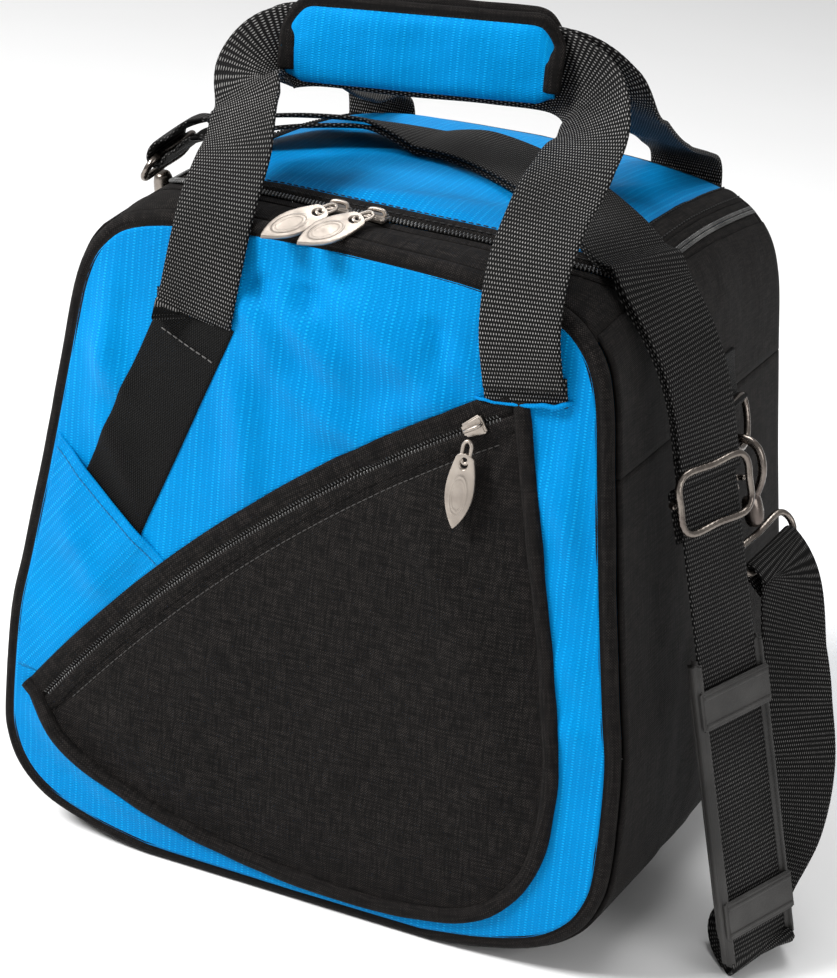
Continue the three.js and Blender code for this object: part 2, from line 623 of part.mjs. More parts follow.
// The doubled strap crosses the lid: its front edge stands up near its left end, and further right it lies flat.
const lidRoute = smooth([
  [-119, -20], [-100, -15], [-76, -1], [-38, 14], [6, 12], [48, -10], [88, -40], [108, -54], [120, -62],
].map(([x, y]) => vec(x, y, 0)), 26);
const lidTilt = (t) => THREE.MathUtils.degToRad(-19 + 27 * THREE.MathUtils.smoothstep(t, 0.25, 0.5));
const lastStation = lidRoute.length - 1;
const lidCentres = lidRoute.map((flat, i) => {
  const lift = 6.2 + (WEB_WIDTH / 2) * Math.abs(Math.sin(lidTilt(i / lastStation)));
  return vec(flat.x, flat.y, topHeight(Math.min(Math.abs(flat.x), 112), flat.y) + lift);
});
const lidStations = lidCentres.map((centre, i) => {
  const after = lidCentres[Math.min(i + 1, lastStation)];
  const before = lidCentres[Math.max(i - 1, 0)];
  const tangent = after.clone().sub(before).normalize();
  const level = vec(0, 0, 1).cross(tangent).normalize();
  const tilt = lidTilt(i / lastStation);
  const upward = tangent.clone().cross(level);
  const across = level.multiplyScalar(Math.cos(tilt)).addScaledVector(upward, Math.sin(tilt)).normalize();
  return { centre, across, normal: tangent.cross(across).normalize() };
});
// The layers stand apart at the left end and come together over the first third of the lid.
const lidLayer = (step) => lidStations.map(({ centre, normal }, i) => {
  const apart = 1 + 2 * Math.max(1 - i / lastStation / 0.3, 0);
  return centre.clone().addScaledVector(normal, step * apart);
});
const lidAcross = (t, i) => lidStations[i].across;
addPart('strap_lid_lower', ribbon(lidLayer(0), lidAcross, WEB_WIDTH, STRAP_THICKNESS), 'webbing');
addPart('strap_lid_upper', ribbon(lidLayer(LAYER_STEP), lidAcross, WEB_WIDTH, STRAP_THICKNESS), 'webbing');

// Past the lid's front right corner the two layers hang down the side.
const TRI_GLIDE_DOWN = 42;   // from the top of the straight run to the tri-glide's bar
function strapDrop(step, lowest) {
  const layer = lidLayer(step);
  const end = layer[layer.length - 1];
  const heading = end.clone().sub(layer[layer.length - 2]).normalize();
  const upward = lidStations[lastStation].normal;
  const bend = [[129, -68, 318], [140, -70, 305], [148.5, -69, 290]].map(([x, y, z], i) => (
    vec(x, y, z).addScaledVector(upward.clone().lerp(runOut, 0.4 + 0.25 * i).normalize(), step * 1.2)
  ));
  const start = end.clone().addScaledVector(heading, 2.6);
  const path = smooth([start, ...bend, onRun(0, step), onRun(lowest, step)], 16);
  const first = lidStations[lastStation].across;
  return ribbon(path, (t) => first.clone().lerp(runAcross, Math.min(t * 2, 1)), WEB_WIDTH, STRAP_THICKNESS);
}
addPart('strap_drop_lower', strapDrop(0, 20), 'webbing');
addPart('strap_drop_upper', strapDrop(LAYER_STEP, TRI_GLIDE_DOWN - 20), 'webbing');

const rightEyeHang = vec(0.62, 0.1, -0.78).normalize();
const rightEyeAcross = vec(0.42, 0.91, 0);
rightEyeAcross.addScaledVector(rightEyeHang, -rightEyeAcross.dot(rightEyeHang)).normalize();
const rightEyeOrigin = rightHookOrigin.clone().addScaledVector(rightHang, HOOK_LENGTH + 1.4);
addPart('right_hook_eye', hookEye(rightEyeOrigin, rightEyeHang, rightEyeAcross), 'gunmetal');

function strapRun() {
  const foldAt = rightEyeOrigin.clone().addScaledVector(rightEyeHang, 14);
  const normal = rightEyeHang.clone().cross(rightEyeAcross).normalize();
  const fold = (h, n) => foldAt.clone().addScaledVector(rightEyeHang, h).addScaledVector(normal, n);
  const path = [
    ...smooth([onRun(20 + GAP + 0.3), RUN_FOOT.clone()], 10),
    ...smooth([
      vec(218, -57, 9.5), vec(214.5, -51.5, 6.6), vec(208, -42, 5.6), vec(203, -33, 9), vec(205, -25, 26),
      vec(212, -20, 56), vec(213, -16, 88), vec(206, -8, 118), vec(196, 6, 140), fold(12, 3.8), fold(1.5, 4),
    ], 34),
    ...smooth([fold(-2.4, 3.2), fold(-4.1, 0), fold(-2.4, -3.2), fold(1.5, -4), fold(14, -1)], 12),
  ];
  const widthAt = (t, i) => {
    if (i < 13) {
      return runAcross;
    }
    const turn = i < 24 ? (i - 13) / 11 : Math.max(1 - (i - 24) / 14, 0);
    const across = i < 24 ? runAcross.clone() : rightEyeAcross.clone();
    return across.lerp(vec(0.8, 0.6, 0), turn).normalize();
  };
  return ribbon(path, widthAt, WEB_WIDTH, STRAP_THICKNESS);
}
addPart('strap_run', strapRun(), 'webbing');

// Left end: the strap folds round the left eye, just outside the lid.
const leftEyeHang = vec(0.45, -0.12, 0.88).normalize();
const leftEyeAcross = vec(0.08, 0.95, 0.3);
leftEyeAcross.addScaledVector(leftEyeHang, -leftEyeAcross.dot(leftEyeHang)).normalize();
const leftEyeOrigin = leftHookOrigin.clone().addScaledVector(leftHookHang, HOOK_LENGTH + 2.2);
addPart('left_hook_eye', hookEye(leftEyeOrigin, leftEyeHang, leftEyeAcross), 'gunmetal');

function strapLeftEnd() {
  const foldAt = leftEyeOrigin.clone().addScaledVector(leftEyeHang, 14);
  const normal = leftEyeHang.clone().cross(leftEyeAcross).normalize();
  const fold = (h, n) => foldAt.clone().addScaledVector(leftEyeHang, h).addScaledVector(normal, n);
  const heading = lidRoute[1].clone().sub(lidRoute[0]).normalize();
  const meeting = lidLayer(LAYER_STEP / 2)[0].addScaledVector(heading, -5.5);
  const lidSide = lidStations[0].across;
  const spread = meeting.clone().sub(foldAt).normalize().cross(lidSide).normalize();
  const path = smooth([
    meeting.clone().addScaledVector(spread, -4), fold(5, -4.2), fold(-2.6, -3.2), fold(-4.3, 0),
    fold(-2.6, 3.2), fold(5, 4.2), meeting.clone().addScaledVector(spread, 4),
  ], 26);
  const turned = (t) => THREE.MathUtils.smoothstep(1 - Math.abs(2 * t - 1), 0, 0.5);
  return ribbon(path, (t) => lidSide.clone().lerp(leftEyeAcross, turned(t)), WEB_WIDTH, STRAP_THICKNESS);
}
addPart('strap_left_end', strapLeftEnd(), 'webbing');

// Tri-glide: a rounded wire frame in front of the strap, its bar behind it, and the sewn tail round the bar.
const onTriGlide = (a, down, out) => onRun(TRI_GLIDE_DOWN + down, out).addScaledVector(runAcross, a);
const FRAME_OUT = 4.6;    // the frame's distance in front of the strap
const FRAME_HALF = 22.4;
const frameCorners = [
  [-FRAME_HALF, -9], [-FRAME_HALF + 4, -13.5], [0, -13.5], [FRAME_HALF - 4, -13.5], [FRAME_HALF, -9], [FRAME_HALF, 0],
  [FRAME_HALF, 9], [FRAME_HALF - 4, 13.5], [0, 13.5], [-FRAME_HALF + 4, 13.5], [-FRAME_HALF, 9], [-FRAME_HALF, 0],
].map(([a, down]) => onTriGlide(a, down, FRAME_OUT));
addPart('tri_glide_frame', wire(smooth(frameCorners, 44, true), WIRE, 6, true), 'gunmetal');
const barCorners = [
  [-FRAME_HALF - 0.5, 1.9], [-FRAME_HALF, -1.5], [-FRAME_HALF + 2, -3.4],
  [FRAME_HALF - 2, -3.4], [FRAME_HALF, -1.5], [FRAME_HALF + 0.5, 1.9],
].map(([a, out]) => onTriGlide(a, 0, out));
addPart('tri_glide_bar', wire(barCorners, 1.5, 8), 'gunmetal');
addPart('tri_glide_tail', ribbon([
  onRun(TRI_GLIDE_DOWN - 14, -6.6), onRun(TRI_GLIDE_DOWN, -6.8), onRun(TRI_GLIDE_DOWN + 14, -6.6),
], () => runAcross, WEB_WIDTH - 2, STRAP_THICKNESS), 'webbing');

// Shoulder pad: base plate behind the strap, two side rails, and a bridge over the strap near each end.
function shoulderPad() {
  const length = 152;
  const box = (w, n, l, a, out, down) => {
    const geometry = new THREE.BoxGeometry(w, n, l);
    geometry.translate(a, out, down);
    return geometry;
  };
  const rail = (side) => box(5, 8.4, length, side * 23.2, -0.4, 0);
  const base = box(48, 2, length - 24, 0, -3.4, 0);
  const bridge = (down) => box(48, 2, 20, 0, 2.8, down);
  const pad = union(rail(-1), rail(1), base, bridge(-length / 2 + 26), bridge(length / 2 - 26));
  return placed(pad, runAcross, runOut.clone(), runDown.clone(), onRun(192));
}
addPart('shoulder_pad', shoulderPad(), 'plastic');

// ---- inside ----
function baseBoard() {
  const geometry = new THREE.BoxGeometry(172, 206, 3);
  geometry.translate(0, 0, WALL + 4 + 1.5);
  return geometry;
}
addPart('base_board', baseBoard(), 'foam');

function ballCup() {
  const radius = COMPARTMENT_CUP_RADIUS;
  const profile = [[radius + 18, 0], [radius + 18, 22], [radius + 12, 26], [radius, 14], [radius - 8, 0]];
  const points = [...profile, profile[0]].map(([r, z]) => new THREE.Vector2(r, z));
  const geometry = new THREE.LatheGeometry(points, 40);
  geometry.rotateX(Math.PI / 2);
  geometry.translate(0, 0, WALL + 4 + 3 + GAP);
  return geometry;
}
addPart('ball_cup', ballCup(), 'foam');

export default bag;
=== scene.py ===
"""The looks of a bowling ball bag: fabric, webbing, zips and metal fittings round the CAD frame."""

import bisect
import math

import bmesh
import bpy
from mathutils import Matrix, Vector, noise


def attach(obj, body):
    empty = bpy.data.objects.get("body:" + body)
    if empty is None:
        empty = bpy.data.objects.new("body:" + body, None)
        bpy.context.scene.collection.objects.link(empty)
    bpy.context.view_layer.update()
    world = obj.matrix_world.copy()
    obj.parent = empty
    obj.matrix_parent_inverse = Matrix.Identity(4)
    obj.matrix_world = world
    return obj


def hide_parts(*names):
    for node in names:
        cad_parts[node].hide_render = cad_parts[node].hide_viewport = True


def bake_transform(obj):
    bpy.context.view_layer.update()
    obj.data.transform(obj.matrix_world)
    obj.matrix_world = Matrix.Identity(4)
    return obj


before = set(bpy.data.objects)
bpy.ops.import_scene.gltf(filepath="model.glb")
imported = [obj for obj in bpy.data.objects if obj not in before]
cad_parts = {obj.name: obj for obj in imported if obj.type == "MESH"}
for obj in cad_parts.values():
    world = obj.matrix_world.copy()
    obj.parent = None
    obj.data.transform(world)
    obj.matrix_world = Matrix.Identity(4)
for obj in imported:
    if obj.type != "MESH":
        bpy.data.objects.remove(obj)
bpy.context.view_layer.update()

MM = 0.001
UP = Vector((0, 0, 1))
BACK = Vector((0, 1, 0))
RIGHT = Vector((1, 0, 0))

# ---- sizes, in millimetres ----
FRONT_Y = -116.0
BACK_Y = 116.0
FACE = FRONT_Y - 2.0
GUSSET_END = 111.4
PIPING_INSET = 4.6
PIPING_RADIUS = 4.8
BOTTOM_SEAM_Z = 12.0
SIDE_SEAM_Z = 245.0
ZIP_EDGE_Z = 305.0
TOP_Z = 327.0
CROWN = 7.0
WEB_WIDTH = 38.0
WEB_THICKNESS = 2.2
STRAP_THICKNESS = 1.9
TAPE_WIDTH = 5.6
LID_BAND_WIDTH = 11.0
COIL_PITCH = 1.75
LID_ZIP_FRONT = -91.0
LID_BACK = 110.5

# ---- the lid's cloth, sewn to the bag's back, is baked where it stands rather than attached to a body ----
SEWN_LID = "sewn lid"

# ---- fineness of curves and small pieces, and where along a sheet its width is measured ----
CURVE_STEPS = 900
PIECE_SIDES = 6
WIDTH_TAKEN_AT = 0.37

# ---- pitches of the weaves, in metres ----
DOT_PITCH = 0.0033
DOT_ROW = 0.0014
PLAIN_PITCH = 0.0013


# ---- curves ----
def spline(points, t):
    """Uniform Catmull-Rom through the points; t from 0 to 1."""
    last = len(points) - 1
    place = min(max(t, 0.0), 1.0) * last
    i = min(int(place), last - 1)
    w = place - i
    a = points[max(i - 1, 0)]
    b = points[i]
    c = points[i + 1]
    d = points[min(i + 2, last)]
    return 0.5 * (2 * b + (c - a) * w + (2 * a - 5 * b + 4 * c - d) * w**2 + (3 * b - a - 3 * c + d) * w**3)


def between(a, b, c, d, w):
    """Centripetal Catmull-Rom between b and c, which never loops where the points are uneven."""
    one = max((b - a).length, 1e-6) ** 0.5
    two = one + max((c - b).length, 1e-6) ** 0.5
    three = two + max((d - c).length, 1e-6) ** 0.5
    t = one + (two - one) * w
    ab = a.lerp(b, t / one)
    bc = b.lerp(c, (t - one) / (two - one))
    cd = c.lerp(d, (t - two) / (three - two))
    abc = ab.lerp(bc, t / two)
    bcd = bc.lerp(cd, (t - one) / (three - one))
    return abc.lerp(bcd, (t - one) / (two - one))


def spaced(points, count, closed=False):
    """Points at even steps along a smooth curve through the given ones."""
    given = [Vector(p) for p in points]
    if closed:
        given = [given[-1]] + given + given[:2]
    else:
        given = [given[0] * 2 - given[1]] + given + [given[-1] * 2 - given[-2]]
    pieces = len(given) - 3
    fine = []
    for i in range(CURVE_STEPS + 1):
        place = i / CURVE_STEPS * pieces
        k = min(int(place), pieces - 1)
        fine.append(between(*given[k:k + 4], place - k))
    lengths = [0.0]
    for a, b in zip(fine, fine[1:]):
        lengths.append(lengths[-1] + (b - a).length)
    result = []
    j = 0
    for i in range(count):
        wanted = lengths[-1] * i / (count if closed else count - 1)
        while j < CURVE_STEPS - 1 and lengths[j + 1] < wanted:
            j += 1
        step = max(lengths[j + 1] - lengths[j], 1e-9)
        result.append(fine[j].lerp(fine[j + 1], (wanted - lengths[j]) / step))
    return result


def along_points(points, share):
    """The point at a share, from 0 to 1, of a list of even steps."""
    place = share * (len(points) - 1)
    i = min(int(place), len(points) - 2)
    return points[i].lerp(points[i + 1], place - i)


def tangents(path, closed=False):
    """The direction of a path at each of its points."""
    count = len(path)
    result = []
    for i in range(count):
        before = path[(i - 1) % count] if closed else path[max(i - 1, 0)]
        after = path[(i + 1) % count] if closed else path[min(i + 1, count - 1)]
        result.append((after - before).normalized())
    return result


def path_length(path):
    return sum((b - a).length for a, b in zip(path, path[1:]))


def square_to(vector, axis):
    """The unit vector nearest to the given one that stands square to the axis."""
    return (vector - axis * vector.dot(axis)).normalized()


def smoothstep(low, high, value):
    """Rises smoothly from 0 at low to 1 at high."""
    t = min(max((value - low) / (high - low), 0.0), 1.0)
    return t * t * (3 - 2 * t)


def hump(value, half):
    """A round hump: 1 at 0, and fading out over a few times its half-width."""
    return math.exp(-((value / half) ** 2))


# ---- mesh making ----
def new_object(name, mesh, material, body):
    """An object that moves with its body. The lid's cloth is sewn to the bag's back, so it is baked where it
    stands instead of following a body.
    """
    mesh.materials.append(material)
    mesh.shade_smooth()
    obj = bpy.data.objects.new(name, mesh)
    bpy.context.scene.collection.objects.link(obj)
    if body == SEWN_LID:
        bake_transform(obj)
    else:
        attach(obj, body)
    return obj


def make_object(name, points, faces, uvs, material, body):
    """A smooth-shaded object from points in mm, with one UV per point in metres."""
    mesh = bpy.data.meshes.new(name)
    mesh.from_pydata([p * MM for p in points], [], faces)
    layer = mesh.uv_layers.new(name="cloth")
    for loop in mesh.loops:
        layer.data[loop.index].uv = uvs[loop.vertex_index]
    return new_object(name, mesh, material, body)


def moulded(name, work, material, body, node):
    """A cast or moulded piece from a bmesh, which stands for a CAD node."""
    mesh = bpy.data.meshes.new(name)
    work.to_mesh(mesh)
    work.free()
    obj = new_object(name, mesh, material, body)
    shading = obj.modifiers.new("shading", "WEIGHTED_NORMAL")
    shading.keep_sharp = True
    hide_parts(node)


def grid(name, steps_u, steps_v, surface, material, body, thickness=0.0, closed=False, flat_uv=None):
    """An open sheet through surface(u, v); thickness goes to the side away from dS/du x dS/dv."""
    rows = steps_u if closed else steps_u + 1
    points = [surface(i / steps_u, j / steps_v) for i in range(rows) for j in range(steps_v + 1)]
    length_u = path_length([surface(i / steps_u, 0.5) for i in range(steps_u + 1)])
    length_v = path_length([surface(WIDTH_TAKEN_AT, j / steps_v) for j in range(steps_v + 1)])
    uvs = []
    for i in range(rows):
        for j in range(steps_v + 1):
            even = (i / steps_u * length_u * MM, j / steps_v * length_v * MM)
            uvs.append(flat_uv(points[i * (steps_v + 1) + j]) if flat_uv else even)
    faces = []
    for i in range(steps_u):
        for j in range(steps_v):
            a = i * (steps_v + 1) + j
            b = ((i + 1) % rows) * (steps_v + 1) + j
            faces.append((a, b, b + 1, a + 1))
    obj = make_object(name, points, faces, uvs, material, body)
    if thickness:
        solid = obj.modifiers.new("thickness", "SOLIDIFY")
        solid.thickness = thickness * MM
        solid.offset = -1.0
        solid.use_even_offset = True
    return obj


def fix_normals(obj):
    work = bmesh.new()
    work.from_mesh(obj.data)
    bmesh.ops.recalc_face_normals(work, faces=work.faces)
    work.to_mesh(obj.data)
    work.free()
    return obj


def ring_faces(first, rings, sides, closed=False):
    """Faces round a row of point rings, and over both of its ends unless it is closed."""
    faces = []
    for i in range(rings if closed else rings - 1):
        near = first + i * sides
        far = first + ((i + 1) % rings) * sides
        for j in range(sides):
            k = (j + 1) % sides
            faces.append((near + j, near + k, far + k, far + j))
    if not closed:
        faces.append(tuple(first + j for j in reversed(range(sides))))
        faces.append(tuple(first + (rings - 1) * sides + j for j in range(sides)))
    return faces


# One face of a web in section, as (share of the half width, share of the thickness).
WEB_FACE = [
    (-1.0, 0.0), (-0.97, 0.42), (-0.9, 0.5), (-0.45, 0.5), (0.0, 0.5), (0.45, 0.5), (0.9, 0.5), (0.97, 0.42)]


def strip(name, path, across_at, material, body, width=WEB_WIDTH, thickness=WEB_THICKNESS, bow=0.4):
    """Flat webbing along a path, with a soft edge and a slight bow across its width."""
    directions = tangents(path)
    profile = WEB_FACE + [(-a, -n) for a, n in WEB_FACE]
    points = []
    uvs = []
    run = 0.0
    for i, centre in enumerate(path):
        if i:
            run += (centre - path[i - 1]).length
        across = square_to(across_at(i / (len(path) - 1), i, directions[i]), directions[i])
        normal = directions[i].cross(across)
        for a, n in profile:
            lift = n * thickness + bow * (1 - a * a)
            points.append(centre + across * (a * width / 2) + normal * lift)
            uvs.append((a * width / 2 * MM, run * MM))
    faces = ring_faces(0, len(path), len(profile))
    return fix_normals(make_object(name, points, faces, uvs, material, body))


SEAM_DEPTH = 0.26
SEAM_HALF_ANGLE = 0.28


def tube(name, path, radius, material, body, closed=False, sides=12, squash=1.0, out=None, wobble=0.0,
         groove=None):
    """A round or flattened roll along a path. out is the direction in which squash acts, and groove is the
    angle from it at which a seam runs along the roll."""
    directions = tangents(path, closed)
    across = (BACK if abs(directions[0].y) < 0.9 else UP).copy()
    points = []
    uvs = []
    run = 0.0
    for i, centre in enumerate(path):
        run += (centre - path[i - 1]).length if i else 0.0
        across = square_to(out or across, directions[i])
        up = directions[i].cross(across)
        size = radius * (1 + wobble * noise.noise(centre * 0.05))
        for j in range(sides):
            angle = 2 * math.pi * j / sides
            reach = size
            if groove is not None:
                apart = (angle - groove + math.pi) % (2 * math.pi) - math.pi
                reach *= 1 - SEAM_DEPTH * hump(apart, SEAM_HALF_ANGLE)
            flattened = across * (math.cos(angle) * reach * squash)
            points.append(centre + flattened + up * (math.sin(angle) * reach))
            uvs.append((radius * angle * MM, run * MM))
    faces = ring_faces(0, len(path), sides, closed)
    return fix_normals(make_object(name, points, faces, uvs, material, body))


def small_pieces(name, frames, profile, material, body):
    """Many small rounded pieces in one mesh. A frame is (origin, along, across, up); the profile is (along,
    half width, half height) at each of its sections."""
    points = []
    uvs = []
    faces = []
    for origin, along, across, up in frames:
        faces += ring_faces(len(points), len(profile), PIECE_SIDES)
        for reach, half_width, half_height in profile:
            for j in range(PIECE_SIDES):
                angle = 2 * math.pi * (j + 0.5) / PIECE_SIDES
                offset = across * (math.cos(angle) * half_width) + up * (math.sin(angle) * half_height)
                points.append(origin + along * reach + offset)
                uvs.append((reach * MM, j / PIECE_SIDES * half_width * MM))
    return fix_normals(make_object(name, points, faces, uvs, material, body))


# ---- node helpers ----
class Nodes:
    """A short way to write a material's node tree."""

    def __init__(self, name):
        self.material = bpy.data.materials.new(name)
        self.material.use_nodes = True
        self.tree = self.material.node_tree
        self.shader = next(n for n in self.tree.nodes if n.type == "BSDF_PRINCIPLED")

    def add(self, kind, inputs=None, **settings):
        node = self.tree.nodes.new(kind)
        for key, value in settings.items():
            setattr(node, key, value)
        for key, value in (inputs or {}).items():
            self.put(value, node.inputs[key])
        return node

    def put(self, value, socket):
        if hasattr(value, "is_output"):
            self.tree.links.new(value, socket)
        else:
            socket.default_value = value

    def math(self, operation, a, b=0.0):
        return self.add("ShaderNodeMath", {0: a, 1: b}, operation=operation).outputs[0]

    def mix(self, factor, a, b):
        node = self.add("ShaderNodeMix", {0: factor, 6: a, 7: b}, data_type="RGBA")
        return node.outputs[2]

    def noise(self, coordinate, scale, detail=3.0, roughness=0.55):
        inputs = {"Vector": coordinate, "Scale": scale, "Detail": detail, "Roughness": roughness}
        return self.add("ShaderNodeTexNoise", inputs).outputs["Fac"]

    def span(self, value, low, high, new_low, new_high):
        inputs = {"Value": value, "From Min": low, "From Max": high, "To Min": new_low, "To Max": new_high}
        return self.add("ShaderNodeMapRange", inputs).outputs["Result"]

    def wave(self, coordinate, pitch, phase=0.0):
        """A sine of the coordinate, in metres, from 0 to 1."""
        angle = self.math("ADD", self.math("MULTIPLY", coordinate, 2 * math.pi / pitch), phase)
        return self.span(self.math("SINE", angle), -1.0, 1.0, 0.0, 1.0)

    def cloth(self):
        """The cloth coordinates, in metres: across, along, and both together."""
        where = self.add("ShaderNodeUVMap", uv_map="cloth").outputs["UV"]
        parts = self.add("ShaderNodeSeparateXYZ", {0: where})
        return parts.outputs[0], parts.outputs[1], where

    def place(self):
        return self.add("ShaderNodeTexCoord").outputs["Object"]

    def yarns(self, across, along, fine, coarse):
        """Noise drawn out into yarns: fine is its scale across the cloth, and coarse the one along it."""
        parts = {0: self.math("MULTIPLY", across, fine), 1: self.math("MULTIPLY", along, coarse)}
        return self.noise(self.add("ShaderNodeCombineXYZ", parts).outputs[0], 1.0, 2.0)

    def bump(self, height, distance, strength=1.0, under=None):
        inputs = {"Height": height, "Distance": distance, "Strength": strength}
        if under is not None:
            inputs["Normal"] = under
        return self.add("ShaderNodeBump", inputs).outputs["Normal"]

    def finish(self, color, rough, normal=None, **fixed):
        self.put(color, self.shader.inputs["Base Color"])
        self.put(rough, self.shader.inputs["Roughness"])
        if normal is not None:
            self.put(normal, self.shader.inputs["Normal"])
        for key, value in fixed.items():
            self.shader.inputs[key.replace("_", " ")].default_value = value
        return self.material


def blue_cloth():
    """Bright blue polyester: columns of small raised light dots on a fine ground."""
    n = Nodes("blue_dobby")
    across, along, where = n.cloth()
    column = n.math("POWER", n.wave(across, DOT_PITCH), 1.6)
    broad = n.span(n.wave(across, 4 * DOT_PITCH), 0.0, 1.0, 0.7, 1.0)
    dots = n.math("MULTIPLY", n.math("MULTIPLY", column, broad), n.wave(along, DOT_ROW))
    offset = n.math("MULTIPLY", n.wave(across, DOT_PITCH, math.pi), n.wave(along, DOT_ROW, math.pi))
    pattern = n.math("MAXIMUM", dots, n.math("MULTIPLY", offset, 0.45))
    cloudy = n.noise(n.place(), 14.0)
    threads = n.noise(where, 1500.0, 3.0, 0.7)
    base = n.mix(n.span(cloudy, 0.3, 0.7, 0.0, 1.0), (0.0008, 0.165, 0.43, 1), (0.001, 0.215, 0.52, 1))
    dotted = n.mix(n.span(pattern, 0.3, 0.95, 0.0, 0.8), base, (0.006, 0.42, 0.85, 1))
    color = n.mix(n.span(threads, 0.35, 0.65, 0.4, 0.0), dotted, (0.0006, 0.10, 0.30, 1))
    normal = n.bump(threads, 0.00015, 0.6)
    normal = n.bump(pattern, 0.00028, 0.8, normal)
    normal = n.bump(n.noise(n.place(), 38.0, 4.0), 0.0024, 0.6, normal)
    rough = n.span(pattern, 0.0, 1.0, 0.55, 0.38)
    return n.finish(color, rough, normal, Sheen_Weight=0.05, Sheen_Roughness=0.4,
                    Sheen_Tint=(0.05, 0.5, 1.0, 1), Specular_IOR_Level=0.14,
                    Specular_Tint=(0.05, 0.55, 1.0, 1))


def black_cloth():
    """Black polyester in a plain weave with uneven yarns and a faint brown cast; the crests of the weave
    carry a painted highlight.
    """
    n = Nodes("black_plain_weave")
    across, along, _ = n.cloth()
    check = n.math("MULTIPLY", n.wave(across, PLAIN_PITCH), n.wave(along, PLAIN_PITCH))
    offset = n.math("MULTIPLY", n.wave(across, PLAIN_PITCH, math.pi), n.wave(along, PLAIN_PITCH, math.pi))
    weave = n.math("MAXIMUM", check, offset)
    warp = n.yarns(across, along, 900.0, 90.0)
    weft = n.yarns(across, along, 90.0, 900.0)
    yarn = n.span(n.math("MULTIPLY", warp, weft), 0.14, 0.36, 0.0, 1.0)
    cloudy = n.noise(n.place(), 9.0)
    base = n.mix(n.span(cloudy, 0.3, 0.7, 0.0, 1.0), (0.0010, 0.0009, 0.0009, 1), (0.0024, 0.0021, 0.0020, 1))
    # painted highlight on the weave's crests, broken by the uneven yarns, mixed over the base as lit
    weave_highlight = n.math("POWER", n.math("MULTIPLY", weave, n.span(yarn, 0.0, 1.0, 0.25, 1.0)), 1.8)
    lit = n.mix(weave_highlight, base, (0.040, 0.034, 0.031, 1))
    normal = n.bump(yarn, 0.00012, 0.6)
    normal = n.bump(weave, 0.00022, 0.8, normal)
    normal = n.bump(n.noise(n.place(), 26.0, 4.0), 0.0018, 0.4, normal)
    return n.finish(lit, 0.7, normal, Sheen_Weight=0.01, Sheen_Roughness=0.5, Specular_IOR_Level=0.07)


def web_cloth(name, row, dot, tone, highlight_coverage):
    """Woven webbing: rows of short ribs across the width, each row shifted by half a rib, with painted
    highlights on the rib crests.
    """
    n = Nodes(name)
    across, along, where = n.cloth()
    rows = n.math("POWER", n.wave(along, 2 * row), 2.5)
    rows_between = n.math("POWER", n.wave(along, 2 * row, math.pi), 2.5)
    first = n.math("MULTIPLY", n.wave(across, dot), rows)
    second = n.math("MULTIPLY", n.wave(across, dot, math.pi), rows_between)
    weave = n.math("MAXIMUM", first, second)
    threads = n.noise(where, 1300.0, 3.0, 0.7)
    patchy = n.span(n.noise(n.place(), 22.0), 0.3, 0.7, 0.55, 1.0)
    base = n.mix(threads, (0.0010, 0.0010, 0.0010, 1), (0.0028, 0.0027, 0.0026, 1))
    # painted highlight: the rib crests are lightened towards tone, in patches and broken by the threads
    light = n.math("MULTIPLY", n.span(weave, 1 - highlight_coverage, 0.95, 0.0, 1.0), patchy)
    light = n.math("MULTIPLY", light, n.span(threads, 0.3, 0.6, 0.35, 1.0))
    color = n.mix(light, base, (tone, tone * 0.97, tone * 0.94, 1))
    normal = n.bump(threads, 0.0001, 0.5)
    normal = n.bump(weave, 0.0005, 0.9, normal)
    return n.finish(color, 0.6, normal, Sheen_Weight=0.01, Sheen_Roughness=0.5, Specular_IOR_Level=0.08)


def metal(name, dark, light, rough, grain):
    """Cast or drawn metal with faint clouding and fine scratches."""
    n = Nodes(name)
    place = n.place()
    cloudy = n.noise(place, 60.0)
    color = n.mix(n.span(cloudy, 0.3, 0.7, 0.0, 1.0), dark, light)
    fine = n.noise(place, 900.0, 4.0, 0.7)
    normal = n.bump(fine, 0.00008, grain)
    wear = n.span(n.noise(place, 160.0, 4.0), 0.3, 0.7, rough - 0.08, rough + 0.1)
    return n.finish(color, wear, normal, Metallic=1.0)


def plastic(name, dark, light, rough, grain, gloss=0.3):
    """Moulded plastic with a fine leathery grain and lighter patches: rubbed wear, and on the zip coil a
    painted glint.
    """
    n = Nodes(name)
    place = n.place()
    wear_and_glint = n.span(n.noise(place, 30.0, 4.0), 0.4, 0.75, 0.0, 1.0)
    color = n.mix(wear_and_glint, dark, light)
    cells = n.add("ShaderNodeTexVoronoi", {"Vector": place, "Scale": 900.0}).outputs["Distance"]
    normal = n.bump(cells, 0.0001, grain)
    return n.finish(color, n.span(wear_and_glint, 0.0, 1.0, rough, rough - 0.12), normal, Specular_IOR_Level=gloss)


def thread_material(name, color):
    """Sewing thread with its twist, and painted shade in the twist's grooves."""
    n = Nodes(name)
    across, along, _ = n.cloth()
    twist = n.wave(n.math("ADD", along, across), 0.0006)
    # painted shade: the thread is half as bright in the grooves of its twist
    shade = n.mix(twist, tuple(c * 0.5 for c in color[:3]) + (1,), color)
    return n.finish(shade, 0.6, n.bump(twist, 0.0001, 0.6), Sheen_Weight=0.03, Specular_IOR_Level=0.2)


BLUE = blue_cloth()
BLACK = black_cloth()
